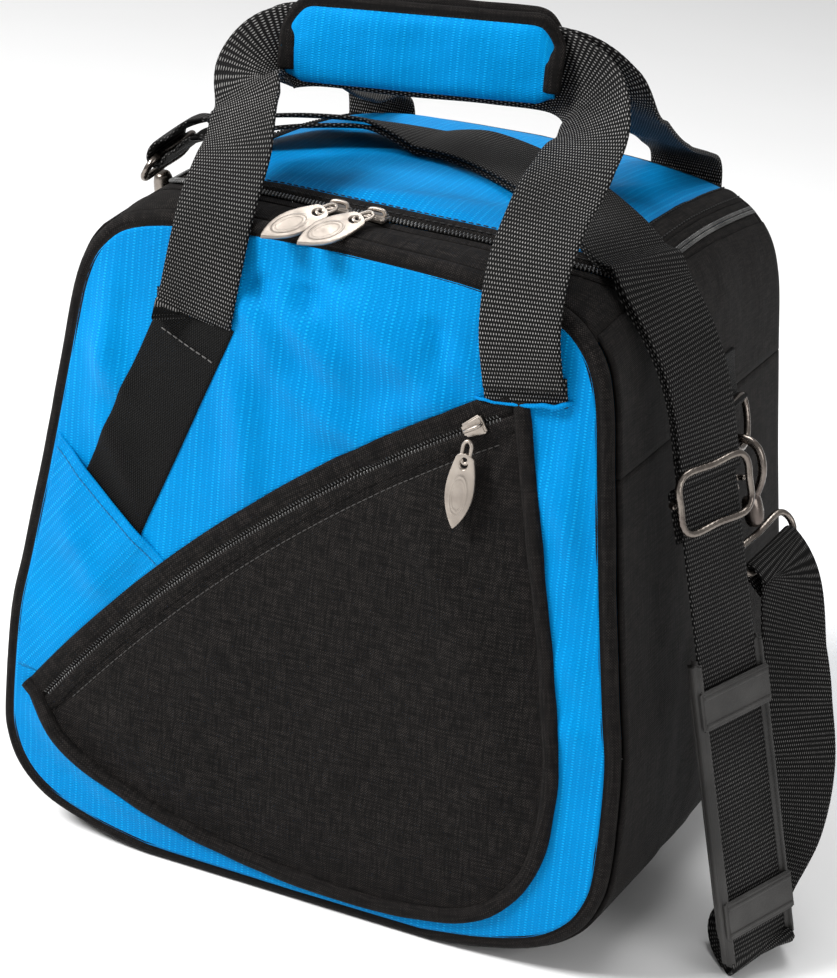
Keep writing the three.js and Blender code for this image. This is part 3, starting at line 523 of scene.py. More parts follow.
# the fourth number of each webbing is the tone of the painted highlights on its rib crests
WEBBING = web_cloth("ribbed_webbing", 0.0019, 0.00125, 0.40, 0.5)
STRAP = web_cloth("strap_webbing", 0.0021, 0.0011, 0.19, 0.52)
DULL_WEB = web_cloth("stitched_webbing", 0.0011, 0.0011, 0.022, 0.7)
NICKEL = metal("satin_nickel", (0.27, 0.235, 0.205, 1), (0.44, 0.39, 0.34, 1), 0.44, 0.5)
GUNMETAL = metal("gunmetal", (0.12, 0.10, 0.09, 1), (0.26, 0.23, 0.20, 1), 0.26, 0.25)
# the zip coil is black nylon: its grey, from 0.04 to 0.15, is partly a painted highlight standing in for the
# glints on its teeth
COIL = plastic("zip_nylon", (0.04, 0.04, 0.04, 1), (0.15, 0.15, 0.145, 1), 0.30, 0.2, 0.5)
PAD = plastic("moulded_pad", (0.022, 0.021, 0.020, 1), (0.042, 0.040, 0.038, 1), 0.55, 0.6)
FOAM = plastic("cup_foam", (0.012, 0.012, 0.012, 1), (0.028, 0.028, 0.028, 1), 0.8, 0.9)
BOARD = plastic("covered_board", (0.014, 0.014, 0.014, 1), (0.024, 0.024, 0.024, 1), 0.7, 0.6)
BLACK_THREAD = thread_material("black_thread", (0.02, 0.02, 0.02, 1))
GREY_THREAD = thread_material("grey_thread", (0.14, 0.135, 0.13, 1))
DARK_THREAD = thread_material("dark_thread", (0.05, 0.047, 0.045, 1))
BLUE_THREAD = thread_material("blue_thread", (0.002, 0.16, 0.38, 1))


# ---- camera, floor and lights ----
CAMERA_PLACE = (0.518, -1.276, 0.699)


def set_camera():
    yaw = math.radians(22.11)
    pitch = math.radians(20.95)
    roll = math.radians(5.76)
    right = Vector((math.cos(yaw), math.sin(yaw), 0))
    ahead = Vector((-math.sin(yaw) * math.cos(pitch), math.cos(yaw) * math.cos(pitch), -math.sin(pitch)))
    above = right.cross(ahead)
    rolled_right = right * math.cos(roll) + above * math.sin(roll)
    rolled_up = above * math.cos(roll) - right * math.sin(roll)
    data = bpy.data.cameras.new("camera")
    data.sensor_fit = "AUTO"
    data.sensor_width = 36.0
    data.lens = 110.6
    data.clip_end = 50.0
    camera = bpy.data.objects.new("camera", data)
    bpy.context.scene.collection.objects.link(camera)
    matrix = Matrix((rolled_right, rolled_up, -ahead)).transposed().to_4x4()
    matrix.translation = Vector(CAMERA_PLACE)
    camera.matrix_world = matrix
    bpy.context.scene.camera = camera


def area_light(name, position, target, size, power):
    data = bpy.data.lights.new(name, "AREA")
    data.shape = "DISK"
    data.size = size
    data.energy = power
    light = bpy.data.objects.new(name, data)
    bpy.context.scene.collection.objects.link(light)
    light.location = position
    light.rotation_euler = (Vector(target) - Vector(position)).to_track_quat("-Z", "Y").to_euler()


def set_stage():
    n = Nodes("floor_paper")
    tone = n.span(n.noise(n.place(), 3.0), 0.0, 1.0, 0.86, 0.90)
    n.finish(n.add("ShaderNodeCombineColor", {0: tone, 1: tone, 2: tone}).outputs[0], 0.8)
    mesh = bpy.data.meshes.new("floor")
    reach = 6.0
    corners = [(-reach, -reach, 0), (reach, -reach, 0), (reach, reach, 0), (-reach, reach, 0)]
    mesh.from_pydata(corners, [], [(0, 1, 2, 3)])
    mesh.materials.append(n.material)
    floor = bpy.data.objects.new("floor", mesh)
    bpy.context.scene.collection.objects.link(floor)
    world = bpy.data.worlds.new("studio")
    world.use_nodes = True
    background = world.node_tree.nodes["Background"]
    background.inputs["Color"].default_value = (1.0, 1.0, 1.0, 1)
    background.inputs["Strength"].default_value = 0.42
    bpy.context.scene.world = world
    bpy.context.scene.view_settings.view_transform = "Standard"
    target = (0.0, 0.0, 0.2)
    area_light("key", (-1.5, -1.4, 2.0), target, 0.9, 112)
    area_light("fill", (1.9, -0.8, 0.9), target, 1.2, 12)
    area_light("top", (0.2, 0.5, 2.0), target, 1.0, 18)


set_camera()
set_stage()

# ---- the outline seen from the front ----
SIDE = [Vector((x, z)) for x, z in (
    (72, 0), (102, 5), (129, 13.5), (146, 26), (155, 42), (158, 62), (157, 109), (152, 141), (144, 193),
    (137, 244), (131, 284), (121, 305), (102, 318), (60, 325), (0, 327))]


def on_side(t):
    return spline(SIDE, t)


def solve_on_side(test):
    low, high = 0.0, 1.0
    for _ in range(40):
        middle = (low + high) / 2
        if test(on_side(middle)):
            low = middle
        else:
            high = middle
    return low


def at_height(z):
    return solve_on_side(lambda p: p.y < z)


ARCH = [on_side(solve_on_side(lambda p, x=x: p.y < 290 or p.x > x)).y for x in range(0, 132)]


def top_height(x, y):
    """Height of the bag's top surface over a point of its plan."""
    place = min(abs(x), 130.0)
    i = int(place)
    arch = ARCH[i] + (ARCH[i + 1] - ARCH[i]) * (place - i)
    return arch + CROWN * (1 - (y / BACK_Y) ** 2)


def outline_loop(inset, count):
    """Closed outline, counter-clockwise from the floor, as 2-D points moved inwards by inset."""
    right = []
    for i in range(count + 1):
        t = i / count
        tangent = (on_side(min(t + 0.002, 1)) - on_side(max(t - 0.002, 0))).normalized()
        right.append(on_side(t) + Vector((-tangent.y, tangent.x)) * inset)
    right[0].y = inset
    right[-1] = Vector((0, TOP_Z - inset))
    return right + [Vector((-p.x, p.y)) for p in reversed(right[:-1])]


CENTRE = Vector((0, 165))
RIM = outline_loop(PIPING_INSET + 1.5, 60)
RIM_BY_ANGLE = sorted((math.atan2(p.y - CENTRE.y, p.x - CENTRE.x), (p - CENTRE).length) for p in RIM)


def reach_at(angle):
    """Distance from the panel's centre to its rim in one direction."""
    i = bisect.bisect(RIM_BY_ANGLE, (angle, 0.0))
    before = RIM_BY_ANGLE[i - 1]
    after = RIM_BY_ANGLE[i % len(RIM_BY_ANGLE)]
    span = (after[0] - before[0]) % (2 * math.pi)
    share = ((angle - before[0]) % (2 * math.pi)) / max(span, 1e-9)
    return before[1] + (after[1] - before[1]) * min(share, 1.0)


def folds_at(folds, x, z):
    """Height of soft creases: each runs from one point to another with a height and a half-width."""
    total = 0.0
    for x1, z1, x2, z2, height, half in folds:
        along = Vector((x2 - x1, z2 - z1))
        away = Vector((x - x1, z - z1))
        t = away.dot(along) / along.length_squared
        side = abs(away.cross(along)) / along.length
        fade = smoothstep(-0.25, 0.25, t) * (1 - smoothstep(0.7, 1.25, t))
        total += height * hump(side, half) * fade
    return total


def ripple(x, z, size, seed):
    return noise.noise(Vector((x / size, z / size, seed)))


# ---- front and back panels ----
FRONT_FOLDS = [
    (-30, 302, 10, 262, 4.6, 8), (0, 306, 52, 268, 4.8, 9), (-40, 270, 20, 236, 3.8, 9),
    (-128, 262, -98, 230, 3.0, 8), (20, 300, 70, 280, 3.2, 7), (-118, 226, -88, 178, 2.4, 7),
    (118, 262, 126, 214, 3.2, 7), (108, 240, 134, 196, 3.0, 7), (122, 196, 146, 168, 2.8, 6),
    (126, 160, 150, 138, 2.6, 6), (130, 128, 152, 112, 2.4, 6), (-148, 66, -96, 30, 3.4, 8),
    (-60, 18, -100, 26, 2.4, 7), (-44, 258, -34, 196, 4.0, 9), (-126, 160, -104, 130, 2.0, 8),
    (-134, 280, -142, 176, 3.0, 9), (30, 250, 60, 268, 3.2, 7), (-116, 304, -112, 236, 3.2, 8),
    (0, 230, 40, 222, -3.0, 8), (-52, 300, -24, 268, 3.4, 6), (-46, 284, 34, 277, 3.0, 13),
    (-38, 304, -34, 290, -4.2, 6), (-14, 303, -11, 290, -4.2, 6), (48, 300, 55, 282, -4.0, 5),
]


def panel_y(x, z, face, folds, seed):
    """Distance of a panel's face from the bag's middle plane, without its sign."""
    away = Vector((x, z)) - CENTRE
    share = min(away.length / reach_at(math.atan2(away.y, away.x)), 1.0)
    calm = 1 - smoothstep(0.86, 1.0, share)
    relief = folds_at(folds, x, z) + 1.1 * ripple(x, z, 46, seed) + 0.45 * ripple(x, z, 17, seed + 5)
    return face + 0.2 + 2.4 * (1 - share**3) + relief * calm


def front_y(x, z):
    return -panel_y(x, z, -FACE, FRONT_FOLDS, 3.0)


def back_y(x, z):
    return panel_y(x, z, BACK_Y + 2, [(-60, 250, 30, 120, 1.6, 14), (70, 230, 20, 90, 1.4, 12)], 9.0)


def plan_uv(point):
    return (point.x * MM, point.z * MM)


def panel(name, depth_at, turn, node):
    """A panel from its centre to its rim, in rings of the outline."""
    loop = outline_loop(PIPING_INSET + 1.5, 60)
    loop.append(loop[0])

    def surface(u, v):
        rim = along_points(loop, u)
        spot = CENTRE.lerp(rim, 1 - (1 - v) ** 1.15 * 0.999)
        return Vector((spot.x, depth_at(spot.x, spot.y), spot.y))

    obj = grid(name, 260, 64, lambda u, v: surface(1 - u if turn else u, v), BLUE, "bag", 2.0, closed=True,
               flat_uv=plan_uv)
    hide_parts(node)


panel("front_cover", front_y, False, "front_panel")
panel("back_cover", back_y, True, "back_panel")


def edge_roll(name, y, node):
    """Bound edge: two ridges with the binding's seam between them."""
    radius = PIPING_RADIUS + 0.5
    path = [Vector((p.x, y, max(p.y, radius))) for p in outline_loop(PIPING_INSET, 70)]
    outside = -BACK if y < 0 else BACK
    obj = tube(name, path, radius, BLACK, "bag", closed=True, sides=32, squash=0.9, out=outside, wobble=0.06,
               groove=0.0)
    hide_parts(node)


edge_roll("front_edge_roll", FRONT_Y, "front_piping")
edge_roll("back_edge_roll", BACK_Y, "back_piping")


# ---- side walls and floor ----
def wall(name, side, z_low, z_high, node, bulge, steps, crown=0.0):
    """One wall of the gusset: it bulges between its seams and has soft upright creases. Its top edge rises by
    crown half way along, to meet the zip."""
    start = at_height(z_low)
    end = at_height(z_high)

    def surface(u, v):
        t = start + (end - start) * u
        edge = on_side(t)
        tangent = (on_side(min(t + 0.003, 1)) - on_side(max(t - 0.003, 0))).normalized()
        y = (1 - 2 * v) * (GUSSET_END + 1.5)
        middle = math.sin(math.pi * v) ** 0.8
        crease = 1.3 * ripple(y, edge.y * 0.35, 30, 4.0 * side) + 0.5 * ripple(y, edge.y, 13, 8.0)
        calm = smoothstep(0, 0.1, u) * (1 - smoothstep(0.9, 1, u))
        push = middle * (bulge * math.sin(math.pi * u) + crease * calm)
        spot = edge + Vector((tangent.y, -tangent.x)) * push
        rise = crown * (1 - (y / BACK_Y) ** 2) * smoothstep(0.2, 1.0, u)
        return Vector((side * spot.x, -y if side > 0 else y, spot.y + rise))

    obj = grid(name, steps, 60, surface, BLACK, "bag", 2.2)
    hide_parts(node)


for label, sign in (("left", -1), ("right", 1)):
    wall(f"{label}_side_cover", sign, BOTTOM_SEAM_Z, SIDE_SEAM_Z - 0.4, f"{label}_lower_gusset", 2.4, 90)
    wall(f"{label}_shoulder_cover", sign, SIDE_SEAM_Z + 0.2, ZIP_EDGE_Z + 1, f"{label}_upper_gusset", 1.0, 26,
         CROWN + 1.0)


def floor_cover():
    seam = at_height(BOTTOM_SEAM_Z)

    def surface(u, v):
        side = 2 * u - 1
        spot = on_side(seam * abs(side) ** 1.5)
        x = math.copysign(spot.x, side) if abs(side) > 0.02 else 0.0
        flat = spot.y if abs(side) > 0.02 else 0.0
        return Vector((x, (2 * v - 1) * (GUSSET_END + 1.5), max(flat, 0.0)))

    obj = grid("floor_cover", 60, 12, surface, BLACK, "bag", 2.2)
    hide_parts("bottom_gusset")


floor_cover()

# ---- the U-shaped lid zip, drawn in plan ----
ZIP = spaced([(x, y, 0) for x, y in (
    (115, 110), (115, 40), (115, -40), (110, -68), (93, -81), (50, -88), (0, -91),
    (-50, -88), (-93, -81), (-110, -68), (-115, -40), (-115, 40), (-115, 110))], 601)
ZIP_TANGENTS = tangents(ZIP)
ZIP_LENGTH = path_length(ZIP)


def on_top(x, y, lift):
    """A point above the top surface, lifted square to it."""
    slope_x = top_height(x + 0.5, y) - top_height(x - 0.5, y)
    slope_y = top_height(x, y + 0.5) - top_height(x, y - 0.5)
    return Vector((x, y, top_height(x, y))) + Vector((-slope_x, -slope_y, 1)).normalized() * lift


def beside_zip(u, offset, lift):
    """A point beside the lid zip; offset is outwards from its middle line."""
    share = min(max(u, 0.0), 1.0)
    spot = along_points(ZIP, share)
    tangent = along_points(ZIP_TANGENTS, share)
    return on_top(spot.x - tangent.y * offset, min(spot.y + tangent.x * offset, 111.0), lift)


def zip_band(name, low, high, lift, thickness, body, node, crown):
    """A band of cloth beside the lid zip, between two distances outwards from its middle line."""
    def surface(u, v):
        rise = lift + crown * math.sin(math.pi * v) + 0.3 * ripple(u * 700, v * 9, 22, 2.0)
        return beside_zip(u, low + (high - low) * v, rise)

    obj = grid(name, 260, 6, surface, BLACK, body, thickness)
    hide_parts(node)


zip_band("body_zip_cloth", 1.0, TAPE_WIDTH + 1.2, 1.0, 0.8, "bag", "body_zip_tape", 0.5)
zip_band("lid_zip_cloth", -TAPE_WIDTH - 1.2, -1.0, 1.0, 0.8, SEWN_LID, "lid_zip_tape", 0.5)
zip_band("lid_border", -TAPE_WIDTH - LID_BAND_WIDTH, -TAPE_WIDTH + 0.4, 1.6, 1.4, SEWN_LID, "lid_band", 1.3)


TOOTH = [(0.55, 0.25, 0.35), (0.85, 0.4, 0.8), (1.9, 0.42, 0.9), (2.5, 0.3, 0.5)]
STITCH = [(-1.35, 0.12, 0.1), (-0.8, 0.34, 0.32), (0.8, 0.34, 0.32), (1.35, 0.12, 0.1)]


def zip_teeth(name, point_at, length, side, body, node, shift=0.0):
    """The coil's row of rounded teeth on one side of a zip. point_at(u, offset, lift) gives its surface."""
    frames = []
    count = int(length / COIL_PITCH)
    for i in range(1, count):
        u = (i + shift) / count
        origin = point_at(u, side * -0.3, 2.4)
        along = (point_at(u, side * 2.0, 2.4) - origin).normalized()
        up = (point_at(u, 0, 3.4) - point_at(u, 0, 2.4)).normalized()
        frames.append((origin, along, along.cross(up), up))
    obj = small_pieces(name, frames, TOOTH, COIL, body)
    if node:
        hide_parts(node)


zip_teeth("body_zip_teeth", beside_zip, ZIP_LENGTH, 1, "bag", "body_zip_coil")
zip_teeth("lid_zip_teeth", beside_zip, ZIP_LENGTH, -1, SEWN_LID, "lid_zip_coil", 0.5)


def stitch_line(name, point_at, length, body, lift=0.3, pitch=3.6, material=GREY_THREAD):
    """A row of machine stitches on a surface: point_at(u, lift) is the seam lifted off the cloth."""
    frames = []
    count = max(int(length / pitch), 2)
    for i in range(count):
        u = (i + 0.5) / count
        origin = point_at(u, lift)
        along = (point_at(min(u + 0.004, 1), lift) - point_at(max(u - 0.004, 0), lift)).normalized()
        up = (point_at(u, lift + 1) - origin).normalized()
        frames.append((origin, along, along.cross(up), up))
    small_pieces(name, frames, STITCH, material, body)


stitch_line("lid_border_stitches", lambda u, lift: beside_zip(u, -TAPE_WIDTH - 1.6, 2.5 + lift), ZIP_LENGTH,
            SEWN_LID, material=BLACK_THREAD)
LID_SEAM = TAPE_WIDTH + LID_BAND_WIDTH - 1.6
stitch_line("lid_panel_stitches", lambda u, lift: beside_zip(u, -LID_SEAM, 2.4 + lift), ZIP_LENGTH, SEWN_LID,
            material=BLACK_THREAD)

LID_FOLDS = [
    (-70, -60, -20, 10, 1.6, 9), (30, -66, 80, -20, 1.8, 9), (60, -40, 96, 30, 1.4, 8),
    (-20, -70, 40, -50, 1.4, 7), (70, 20, 100, 80, 1.5, 8), (-90, -20, -70, 60, 1.2, 9),
    (94, -60, 70, -30, 1.6, 6),
]


def half_width_inside(y, offset):
    """Half the lid's width inside the zip at one distance from front to back."""
    edge = [beside_zip(0.5 * i / 80, -offset, 0) for i in range(81)]
    for a, b in zip(edge, edge[1:]):
        if b.y <= y <= a.y:
            return a.x + (b.x - a.x) * (a.y - y) / max(a.y - b.y, 1e-6)
    return edge[0].x if y > edge[0].y else 0.0


def lid_cover():
    offset = TAPE_WIDTH + LID_BAND_WIDTH - 1.5
    front = LID_ZIP_FRONT + offset + 0.4
    rows = [half_width_inside(front + (LID_BACK - front) * (i / 80) ** 1.5, offset) for i in range(81)]

    def surface(u, v):
        y = front + (LID_BACK - front) * u**1.5
        place = u * 80
        i = min(int(place), 79)
        half = rows[i] + (rows[i + 1] - rows[i]) * (place - i)
        x = half * (1 - 2 * v)
        calm = math.sin(math.pi * min(max(v, 0.0), 1.0)) ** 0.5
        calm *= smoothstep(0, 0.15, u) * (1 - smoothstep(0.92, 1, u))
        relief = folds_at(LID_FOLDS, x, y) + 1.0 * ripple(x, y, 34, 6.0)
        puffed = 2.4 * (1 - smoothstep(-80, 0, x)) * smoothstep(0, 40, y)
        return on_top(x, y, 1.4 + (1.6 + relief + puffed) * calm)

    obj = grid("lid_cover", 80, 90, surface, BLUE, SEWN_LID, 2.0, flat_uv=lambda p: (p.x * MM, p.y * MM))
    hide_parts("lid_panel")


lid_cover()


def front_shelf():
    """Black strip between the front edge roll and the zip, with both front corners."""
    outside = [beside_zip(i / 200, TAPE_WIDTH, 0) for i in range(201)]
    outside = [p for p in outside if p.y < -20]

    def zip_y(x):
        near = min(outside, key=lambda p: abs(p.x - x))
        return min(near.y, -46.0)

    def surface(u, v):
        x = 121.5 * math.sin(math.pi * (u - 0.5))
        low = -GUSSET_END - 2.5
        y = low + (zip_y(x) - low) * v
        return on_top(x, y, 0.3 + (1.6 + 0.6 * ripple(x, y, 20, 1.0)) * math.sin(math.pi * v))

    obj = grid("front_shelf", 120, 12, surface, BLACK, "bag", 1.6)
    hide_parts("top_front_strip")


front_shelf()

# ---- front pocket ----
ZIP_START = Vector((-136, 68))
ZIP_END = Vector((82, 263))
ZIP_SAG = 15.0
CHORD = ZIP_END - ZIP_START
ZIP_RADIUS = CHORD.length**2 / (8 * ZIP_SAG) + ZIP_SAG / 2
ZIP_CENTRE = (ZIP_START + ZIP_END) / 2 + Vector((CHORD.y, -CHORD.x)).normalized() * (ZIP_RADIUS - ZIP_SAG)


def on_pocket_zip(u, offset):
    """A point beside the pocket's zip, seen from the front; offset is away from the pocket."""
    first = math.atan2(ZIP_START.y - ZIP_CENTRE.y, ZIP_START.x - ZIP_CENTRE.x)
    last = math.atan2(ZIP_END.y - ZIP_CENTRE.y, ZIP_END.x - ZIP_CENTRE.x)
    angle = first + (last - first) * u
    return ZIP_CENTRE + Vector((math.cos(angle), math.sin(angle))) * (ZIP_RADIUS + offset)


def on_front(spot, lift):
    return Vector((spot.x, front_y(spot.x, spot.y) - lift, spot.y))


POCKET_BAND_END = 1.035
POCKET_ZIP_LENGTH = (on_pocket_zip(1, 0) - on_pocket_zip(0, 0)).length * 1.02


def pocket_band(name, low, high, lift, thickness, node, crown):
    """A band of cloth along the pocket's zip, a little longer than the zip."""
    def surface(u, v):
        spot = on_pocket_zip(POCKET_BAND_END * u, low + (high - low) * v)
        return on_front(spot, lift + crown * math.sin(math.pi * v))

    obj = grid(name, 150, 6, surface, BLACK, "bag", thickness)
    if node:
        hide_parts(node)


pocket_band("pocket_zip_upper_cloth", 10.5, 1.0, 1.8, 1.2, "pocket_zip_upper_tape", 0.8)
pocket_band("pocket_zip_lower_cloth", -1.0, -8.0, 1.8, 1.2, "pocket_zip_lower_tape", 0.5)
pocket_band("pocket_zip_backing", 2.0, -2.0, 1.9, 0.5, None, 0.0)


def pocket_zip_surface(u, offset, lift):
    return on_front(on_pocket_zip(0.01 + u, offset), lift)


zip_teeth("pocket_zip_teeth_upper", pocket_zip_surface, POCKET_ZIP_LENGTH, 1, "bag", "pocket_zip_coil")
zip_teeth("pocket_zip_teeth_lower", pocket_zip_surface, POCKET_ZIP_LENGTH, -1, "bag", None, 0.5)
stitch_line("pocket_zip_stitches", lambda u, lift: on_front(on_pocket_zip(0.02 + 0.94 * u, 12.5), lift),
            POCKET_ZIP_LENGTH, "bag", pitch=3.0, material=BLUE_THREAD)

POCKET_EDGE = spaced([(x, z, 0) for x, z in (
    (-135, 64), (-122, 50), (-96, 35.5), (-45, 20), (10, 13.5), (62, 13.5), (100, 24), (121, 50), (127, 95),
    (120, 145), (104, 221), (95.5, 261))], 121)
POCKET_FOLDS = [
    (-90, 60, -20, 40, 1.2, 9), (60, 200, 96, 120, 1.5, 11), (-60, 110, 0, 130, 1.0, 12),
    (90, 80, 116, 60, 1.2, 8), (40, 220, 70, 180, 1.4, 9), (-20, 60, 60, 30, 1.0, 10),
]


def on_pocket(u, v):
    """The pocket's cloth from its zip (v = 0) to its curved edge (v = 1), puffed away from both."""
    top = on_pocket_zip(0.002 + 1.02 * u, -5.0)
    low = along_points(POCKET_EDGE, u).xy
    spot = top.lerp(low, v)
    width = (low - top).length
    near = min(v * width, (1 - v) * width)
    puff = smoothstep(0, 46, near)
    relief = folds_at(POCKET_FOLDS, spot.x, spot.y) + 0.9 * ripple(spot.x, spot.y, 40, 12.0)
    lip = hump(v * width, 3.0)
    tuck = -0.7 * hump(v * width - 7.0, 1.6) * smoothstep(10, 20, width)
    return on_front(spot, 2.6 + lip + tuck + puff * (3.0 + relief))


def pocket_cover():
    obj = grid("pocket_cover", 130, 110, lambda u, v: on_pocket(u, (1 - v) ** 1.3), BLACK, "bag", 1.6,
               flat_uv=plan_uv)
    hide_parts("pocket_panel")

    def on_seam(t, lift):
        u = 0.06 + 0.9 * t
        reach = 7.0 / max((on_pocket(u, 0) - on_pocket(u, 1)).length, 20.0)
        return on_pocket(u, reach) - BACK * lift

    stitch_line("pocket_top_stitches", on_seam, POCKET_ZIP_LENGTH * 0.9, "bag", lift=0.1, pitch=3.2,
                material=DARK_THREAD)


pocket_cover()


def pocket_roll():
    """The bound edge, from the upper end of the pocket's zip round its corners to its lower end."""
    start = spaced([on_pocket_zip(0.0, offset).to_3d() for offset in (11.0, 3.0)], 9)[:-1]
    end = [Vector(spot) for spot in ((95.0, 263.5), (94.3, 266.5), (93.5, 270), (92.6, 273.5))]
    path = [on_front(p.xy, 2.6) for p in start + POCKET_EDGE[1:] + end]
    obj = tube("pocket_edge_roll", path, 3.9, BLACK, "bag", sides=12, squash=0.75, out=BACK, wobble=0.15)
    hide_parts("pocket_piping")


pocket_roll()

WEB_FOOT = Vector((-107, 168))
WEB_TOP = Vector((-64.6, 281.7))


def corner_patch():
    """Blue patch over the lower left corner; the stitched web goes in under its slanting top edge."""
    loop = [p for p in outline_loop(PIPING_INSET + 3.0, 90) if p.x < -80 and 80 < p.y < 207]
    loop.sort(key=lambda p: p.y)
    web_side = (WEB_TOP - WEB_FOOT).orthogonal().normalized()

    def surface(u, v):
        near_zip = on_pocket_zip(0.03 + 0.33 * u, 9.4)
        spot = near_zip.lerp(along_points(loop, u), v)
        aside = abs((spot - WEB_FOOT).dot(web_side))
        over_web = (1 - smoothstep(18, 34, aside)) * smoothstep(0.5, 0.8, u) * smoothstep(0.0, 0.3, v)
        return on_front(spot, 2.2 + 2.5 * over_web)

    turn = Matrix.Rotation(math.radians(38), 2)
    obj = grid("corner_patch_cover", 60, 60, surface, BLUE, "bag", 1.0,
               flat_uv=lambda p: tuple(turn @ Vector((p.x * MM, p.z * MM))))
    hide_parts("corner_patch")
    tube("corner_patch_hem", [surface(1.0, i / 40) for i in range(41)], 0.8, BLUE, "bag", sides=8)
    stitch_line("patch_stitches", lambda t, lift: surface(0.955, t) - BACK * lift, 70, "bag", lift=0.1,
                pitch=2.4, material=BLUE_THREAD)


corner_patch()


# ---- handles ----
def stitched_web(name, foot, top, on_surface, node, material=DULL_WEB, facing=-1, lift=2.5):
    """A length of webbing sewn flat to a panel."""
    foot = Vector(foot)
    top = Vector(top)
    along = (top - foot).normalized()
    across = Vector((along.y, -along.x)) * -facing

    def surface(u, v):
        aside = 2 * u - 1
        return on_surface(foot.lerp(top, v) + across * (aside * WEB_WIDTH / 2), lift + 0.3 * (1 - aside**4))

    obj = grid(name, 16, 60, surface, material, "bag", 1.7)
    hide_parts(node)


def on_back(spot, lift):
    return Vector((spot.x, back_y(spot.x, spot.y) + lift, spot.y))


stitched_web("front_left_stitched_web", WEB_FOOT, WEB_TOP, on_front, "front_left_lower_web")
WEB_SEAM_LEFT = Vector((-84, 269))
WEB_SEAM_RIGHT = Vector((-56, 258))
stitch_line("front_left_web_stitches", lambda u, lift: on_front(WEB_SEAM_LEFT.lerp(WEB_SEAM_RIGHT, u), lift),
            30, "bag", lift=3.1, pitch=3.2)
stitched_web("front_right_stitched_web", (95.3, 272.1), (93.3, 285), on_front, "front_right_lower_web",
             WEBBING, lift=3.3)
stitched_web("rear_left_stitched_web", (-92, 200), (-92, 284), on_back, "rear_left_lower_web", facing=1)
stitched_web("rear_right_stitched_web", (76, 200), (76, 284), on_back, "rear_right_lower_web", facing=1)


def front_tuck():
    """The ruffled blue seam that holds the right web's lower end."""
    path = spaced([on_front(Vector(spot), lift) for spot, lift in (
        ((71, 270.5), 1.0), ((75, 271), 4.0), ((84, 271.5), 4.6), ((94, 273), 4.6), ((104, 274), 4.6),
        ((112, 276), 4.2), ((116, 277.5), 1.4), ((120, 278.5), -0.6))], 70)
    path = [p + UP * (0.9 * noise.noise(p * 0.16)) for p in path]
    tube("front_seam_tuck", path, 0.95, BLUE, "bag", sides=10, wobble=1.0)


front_tuck()

LEFT_GRIP_END = Vector((-64, -50, 391))
RIGHT_GRIP_END = Vector((68, -34, 400))
GRIP_AXIS = (RIGHT_GRIP_END - LEFT_GRIP_END).normalized()


def in_plane(t, i, direction):
    """The web's flat side faces front and back; its folded lower end keeps the width of the upright part."""
    return RIGHT.lerp(direction.cross(-BACK), smoothstep(8, 20, i))


def handle_web(name, points, body, node):
    """One handle's webbing, from one sewn end over the grip to the other."""
    path = spaced(points, 300)
    obj = strip(name, path, in_plane, WEBBING, body, bow=0.3)
    path_length(path) * MM
    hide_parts(node)


handle_web("front_handle_strap", [
    (-69, -121.4, 288), (-68.6, -121.6, 281), (-67.6, -123.4, 277.6), (-66.4, -125.2, 281), (-63, -126, 304),
    (-62, -119, 330), (-64, -101, 352), (-71, -80, 368), (-76, -65, 378), (-71, -54, 387),
    (-58, -49.6, 391.5), (-10, -43.8, 394.5), (30, -39, 397.5), (63, -35, 397.5), (77, -38, 392),
    (86, -52, 382), (89, -78, 369), (88, -101, 352), (88, -119, 330), (90, -126, 305), (94, -124.6, 280),
], "front_handle", "front_handle_web")
handle_web("rear_handle_strap", [
    (-92, 124.5, 280.5), (-92, 125, 308), (-92, 120, 330), (-91, 100, 341), (-88, 60, 350), (-83, 20, 363),
    (-78, -15, 377), (-72, -36, 387), (-58, -43.2, 391.5), (-10, -37.4, 394.5), (30, -32.6, 397.5),
    (66, -28.4, 397.5), (77, -14, 389), (78, 20, 371), (77, 60, 353), (76, 100, 340), (76, 120, 330),
    (76, 125, 308), (76, 124.5, 280.5),
], "rear_handle", "rear_handle_web")


# ---- grip wrap ----
GRIP_HALF = 19.0
GRIP_RISE = 2.6
GRIP_CORNER = 13.0
GRIP_OUT = Vector((-GRIP_AXIS.y, GRIP_AXIS.x, 0)).normalized()


def grip_surface(facing, depth, margin):
    """Outer face of one leaf of the wrap: u along the grip, v from its bottom edge to its top edge."""
    across = GRIP_OUT * facing
    span = (RIGHT_GRIP_END - LEFT_GRIP_END).length - 2 * margin - 8

    def surface(u, v):
        end = abs(2 * u - 1)
        height = 2 * v - 1
        inside = min((1 - end) * span / 2, GRIP_CORNER)
        dropped = GRIP_CORNER - math.sqrt(GRIP_CORNER**2 - (GRIP_CORNER - inside) ** 2)
        dropped *= smoothstep(-0.2, 0.7, height)
        shrink = 1 - 0.16 * smoothstep(0.86, 1.0, end)
        bulge = max(1 - abs(height) ** 5, 0) ** 0.5
        puff = depth * bulge * (1 - 0.35 * smoothstep(0.6, 1.0, end))
        spot = LEFT_GRIP_END + GRIP_AXIS * (margin + span * u) + Vector((0, 6.2 if facing > 0 else 0.0, 0))
        creases = 0.9 * ripple(u * 120, height * 20, 16, 3.0 * facing) + 0.7 * math.sin(u * 21 + height * 2)
        puff += bulge * creases
        return spot + across * (2.2 + puff) + UP * (height * GRIP_HALF * shrink + GRIP_RISE - dropped)

    return surface


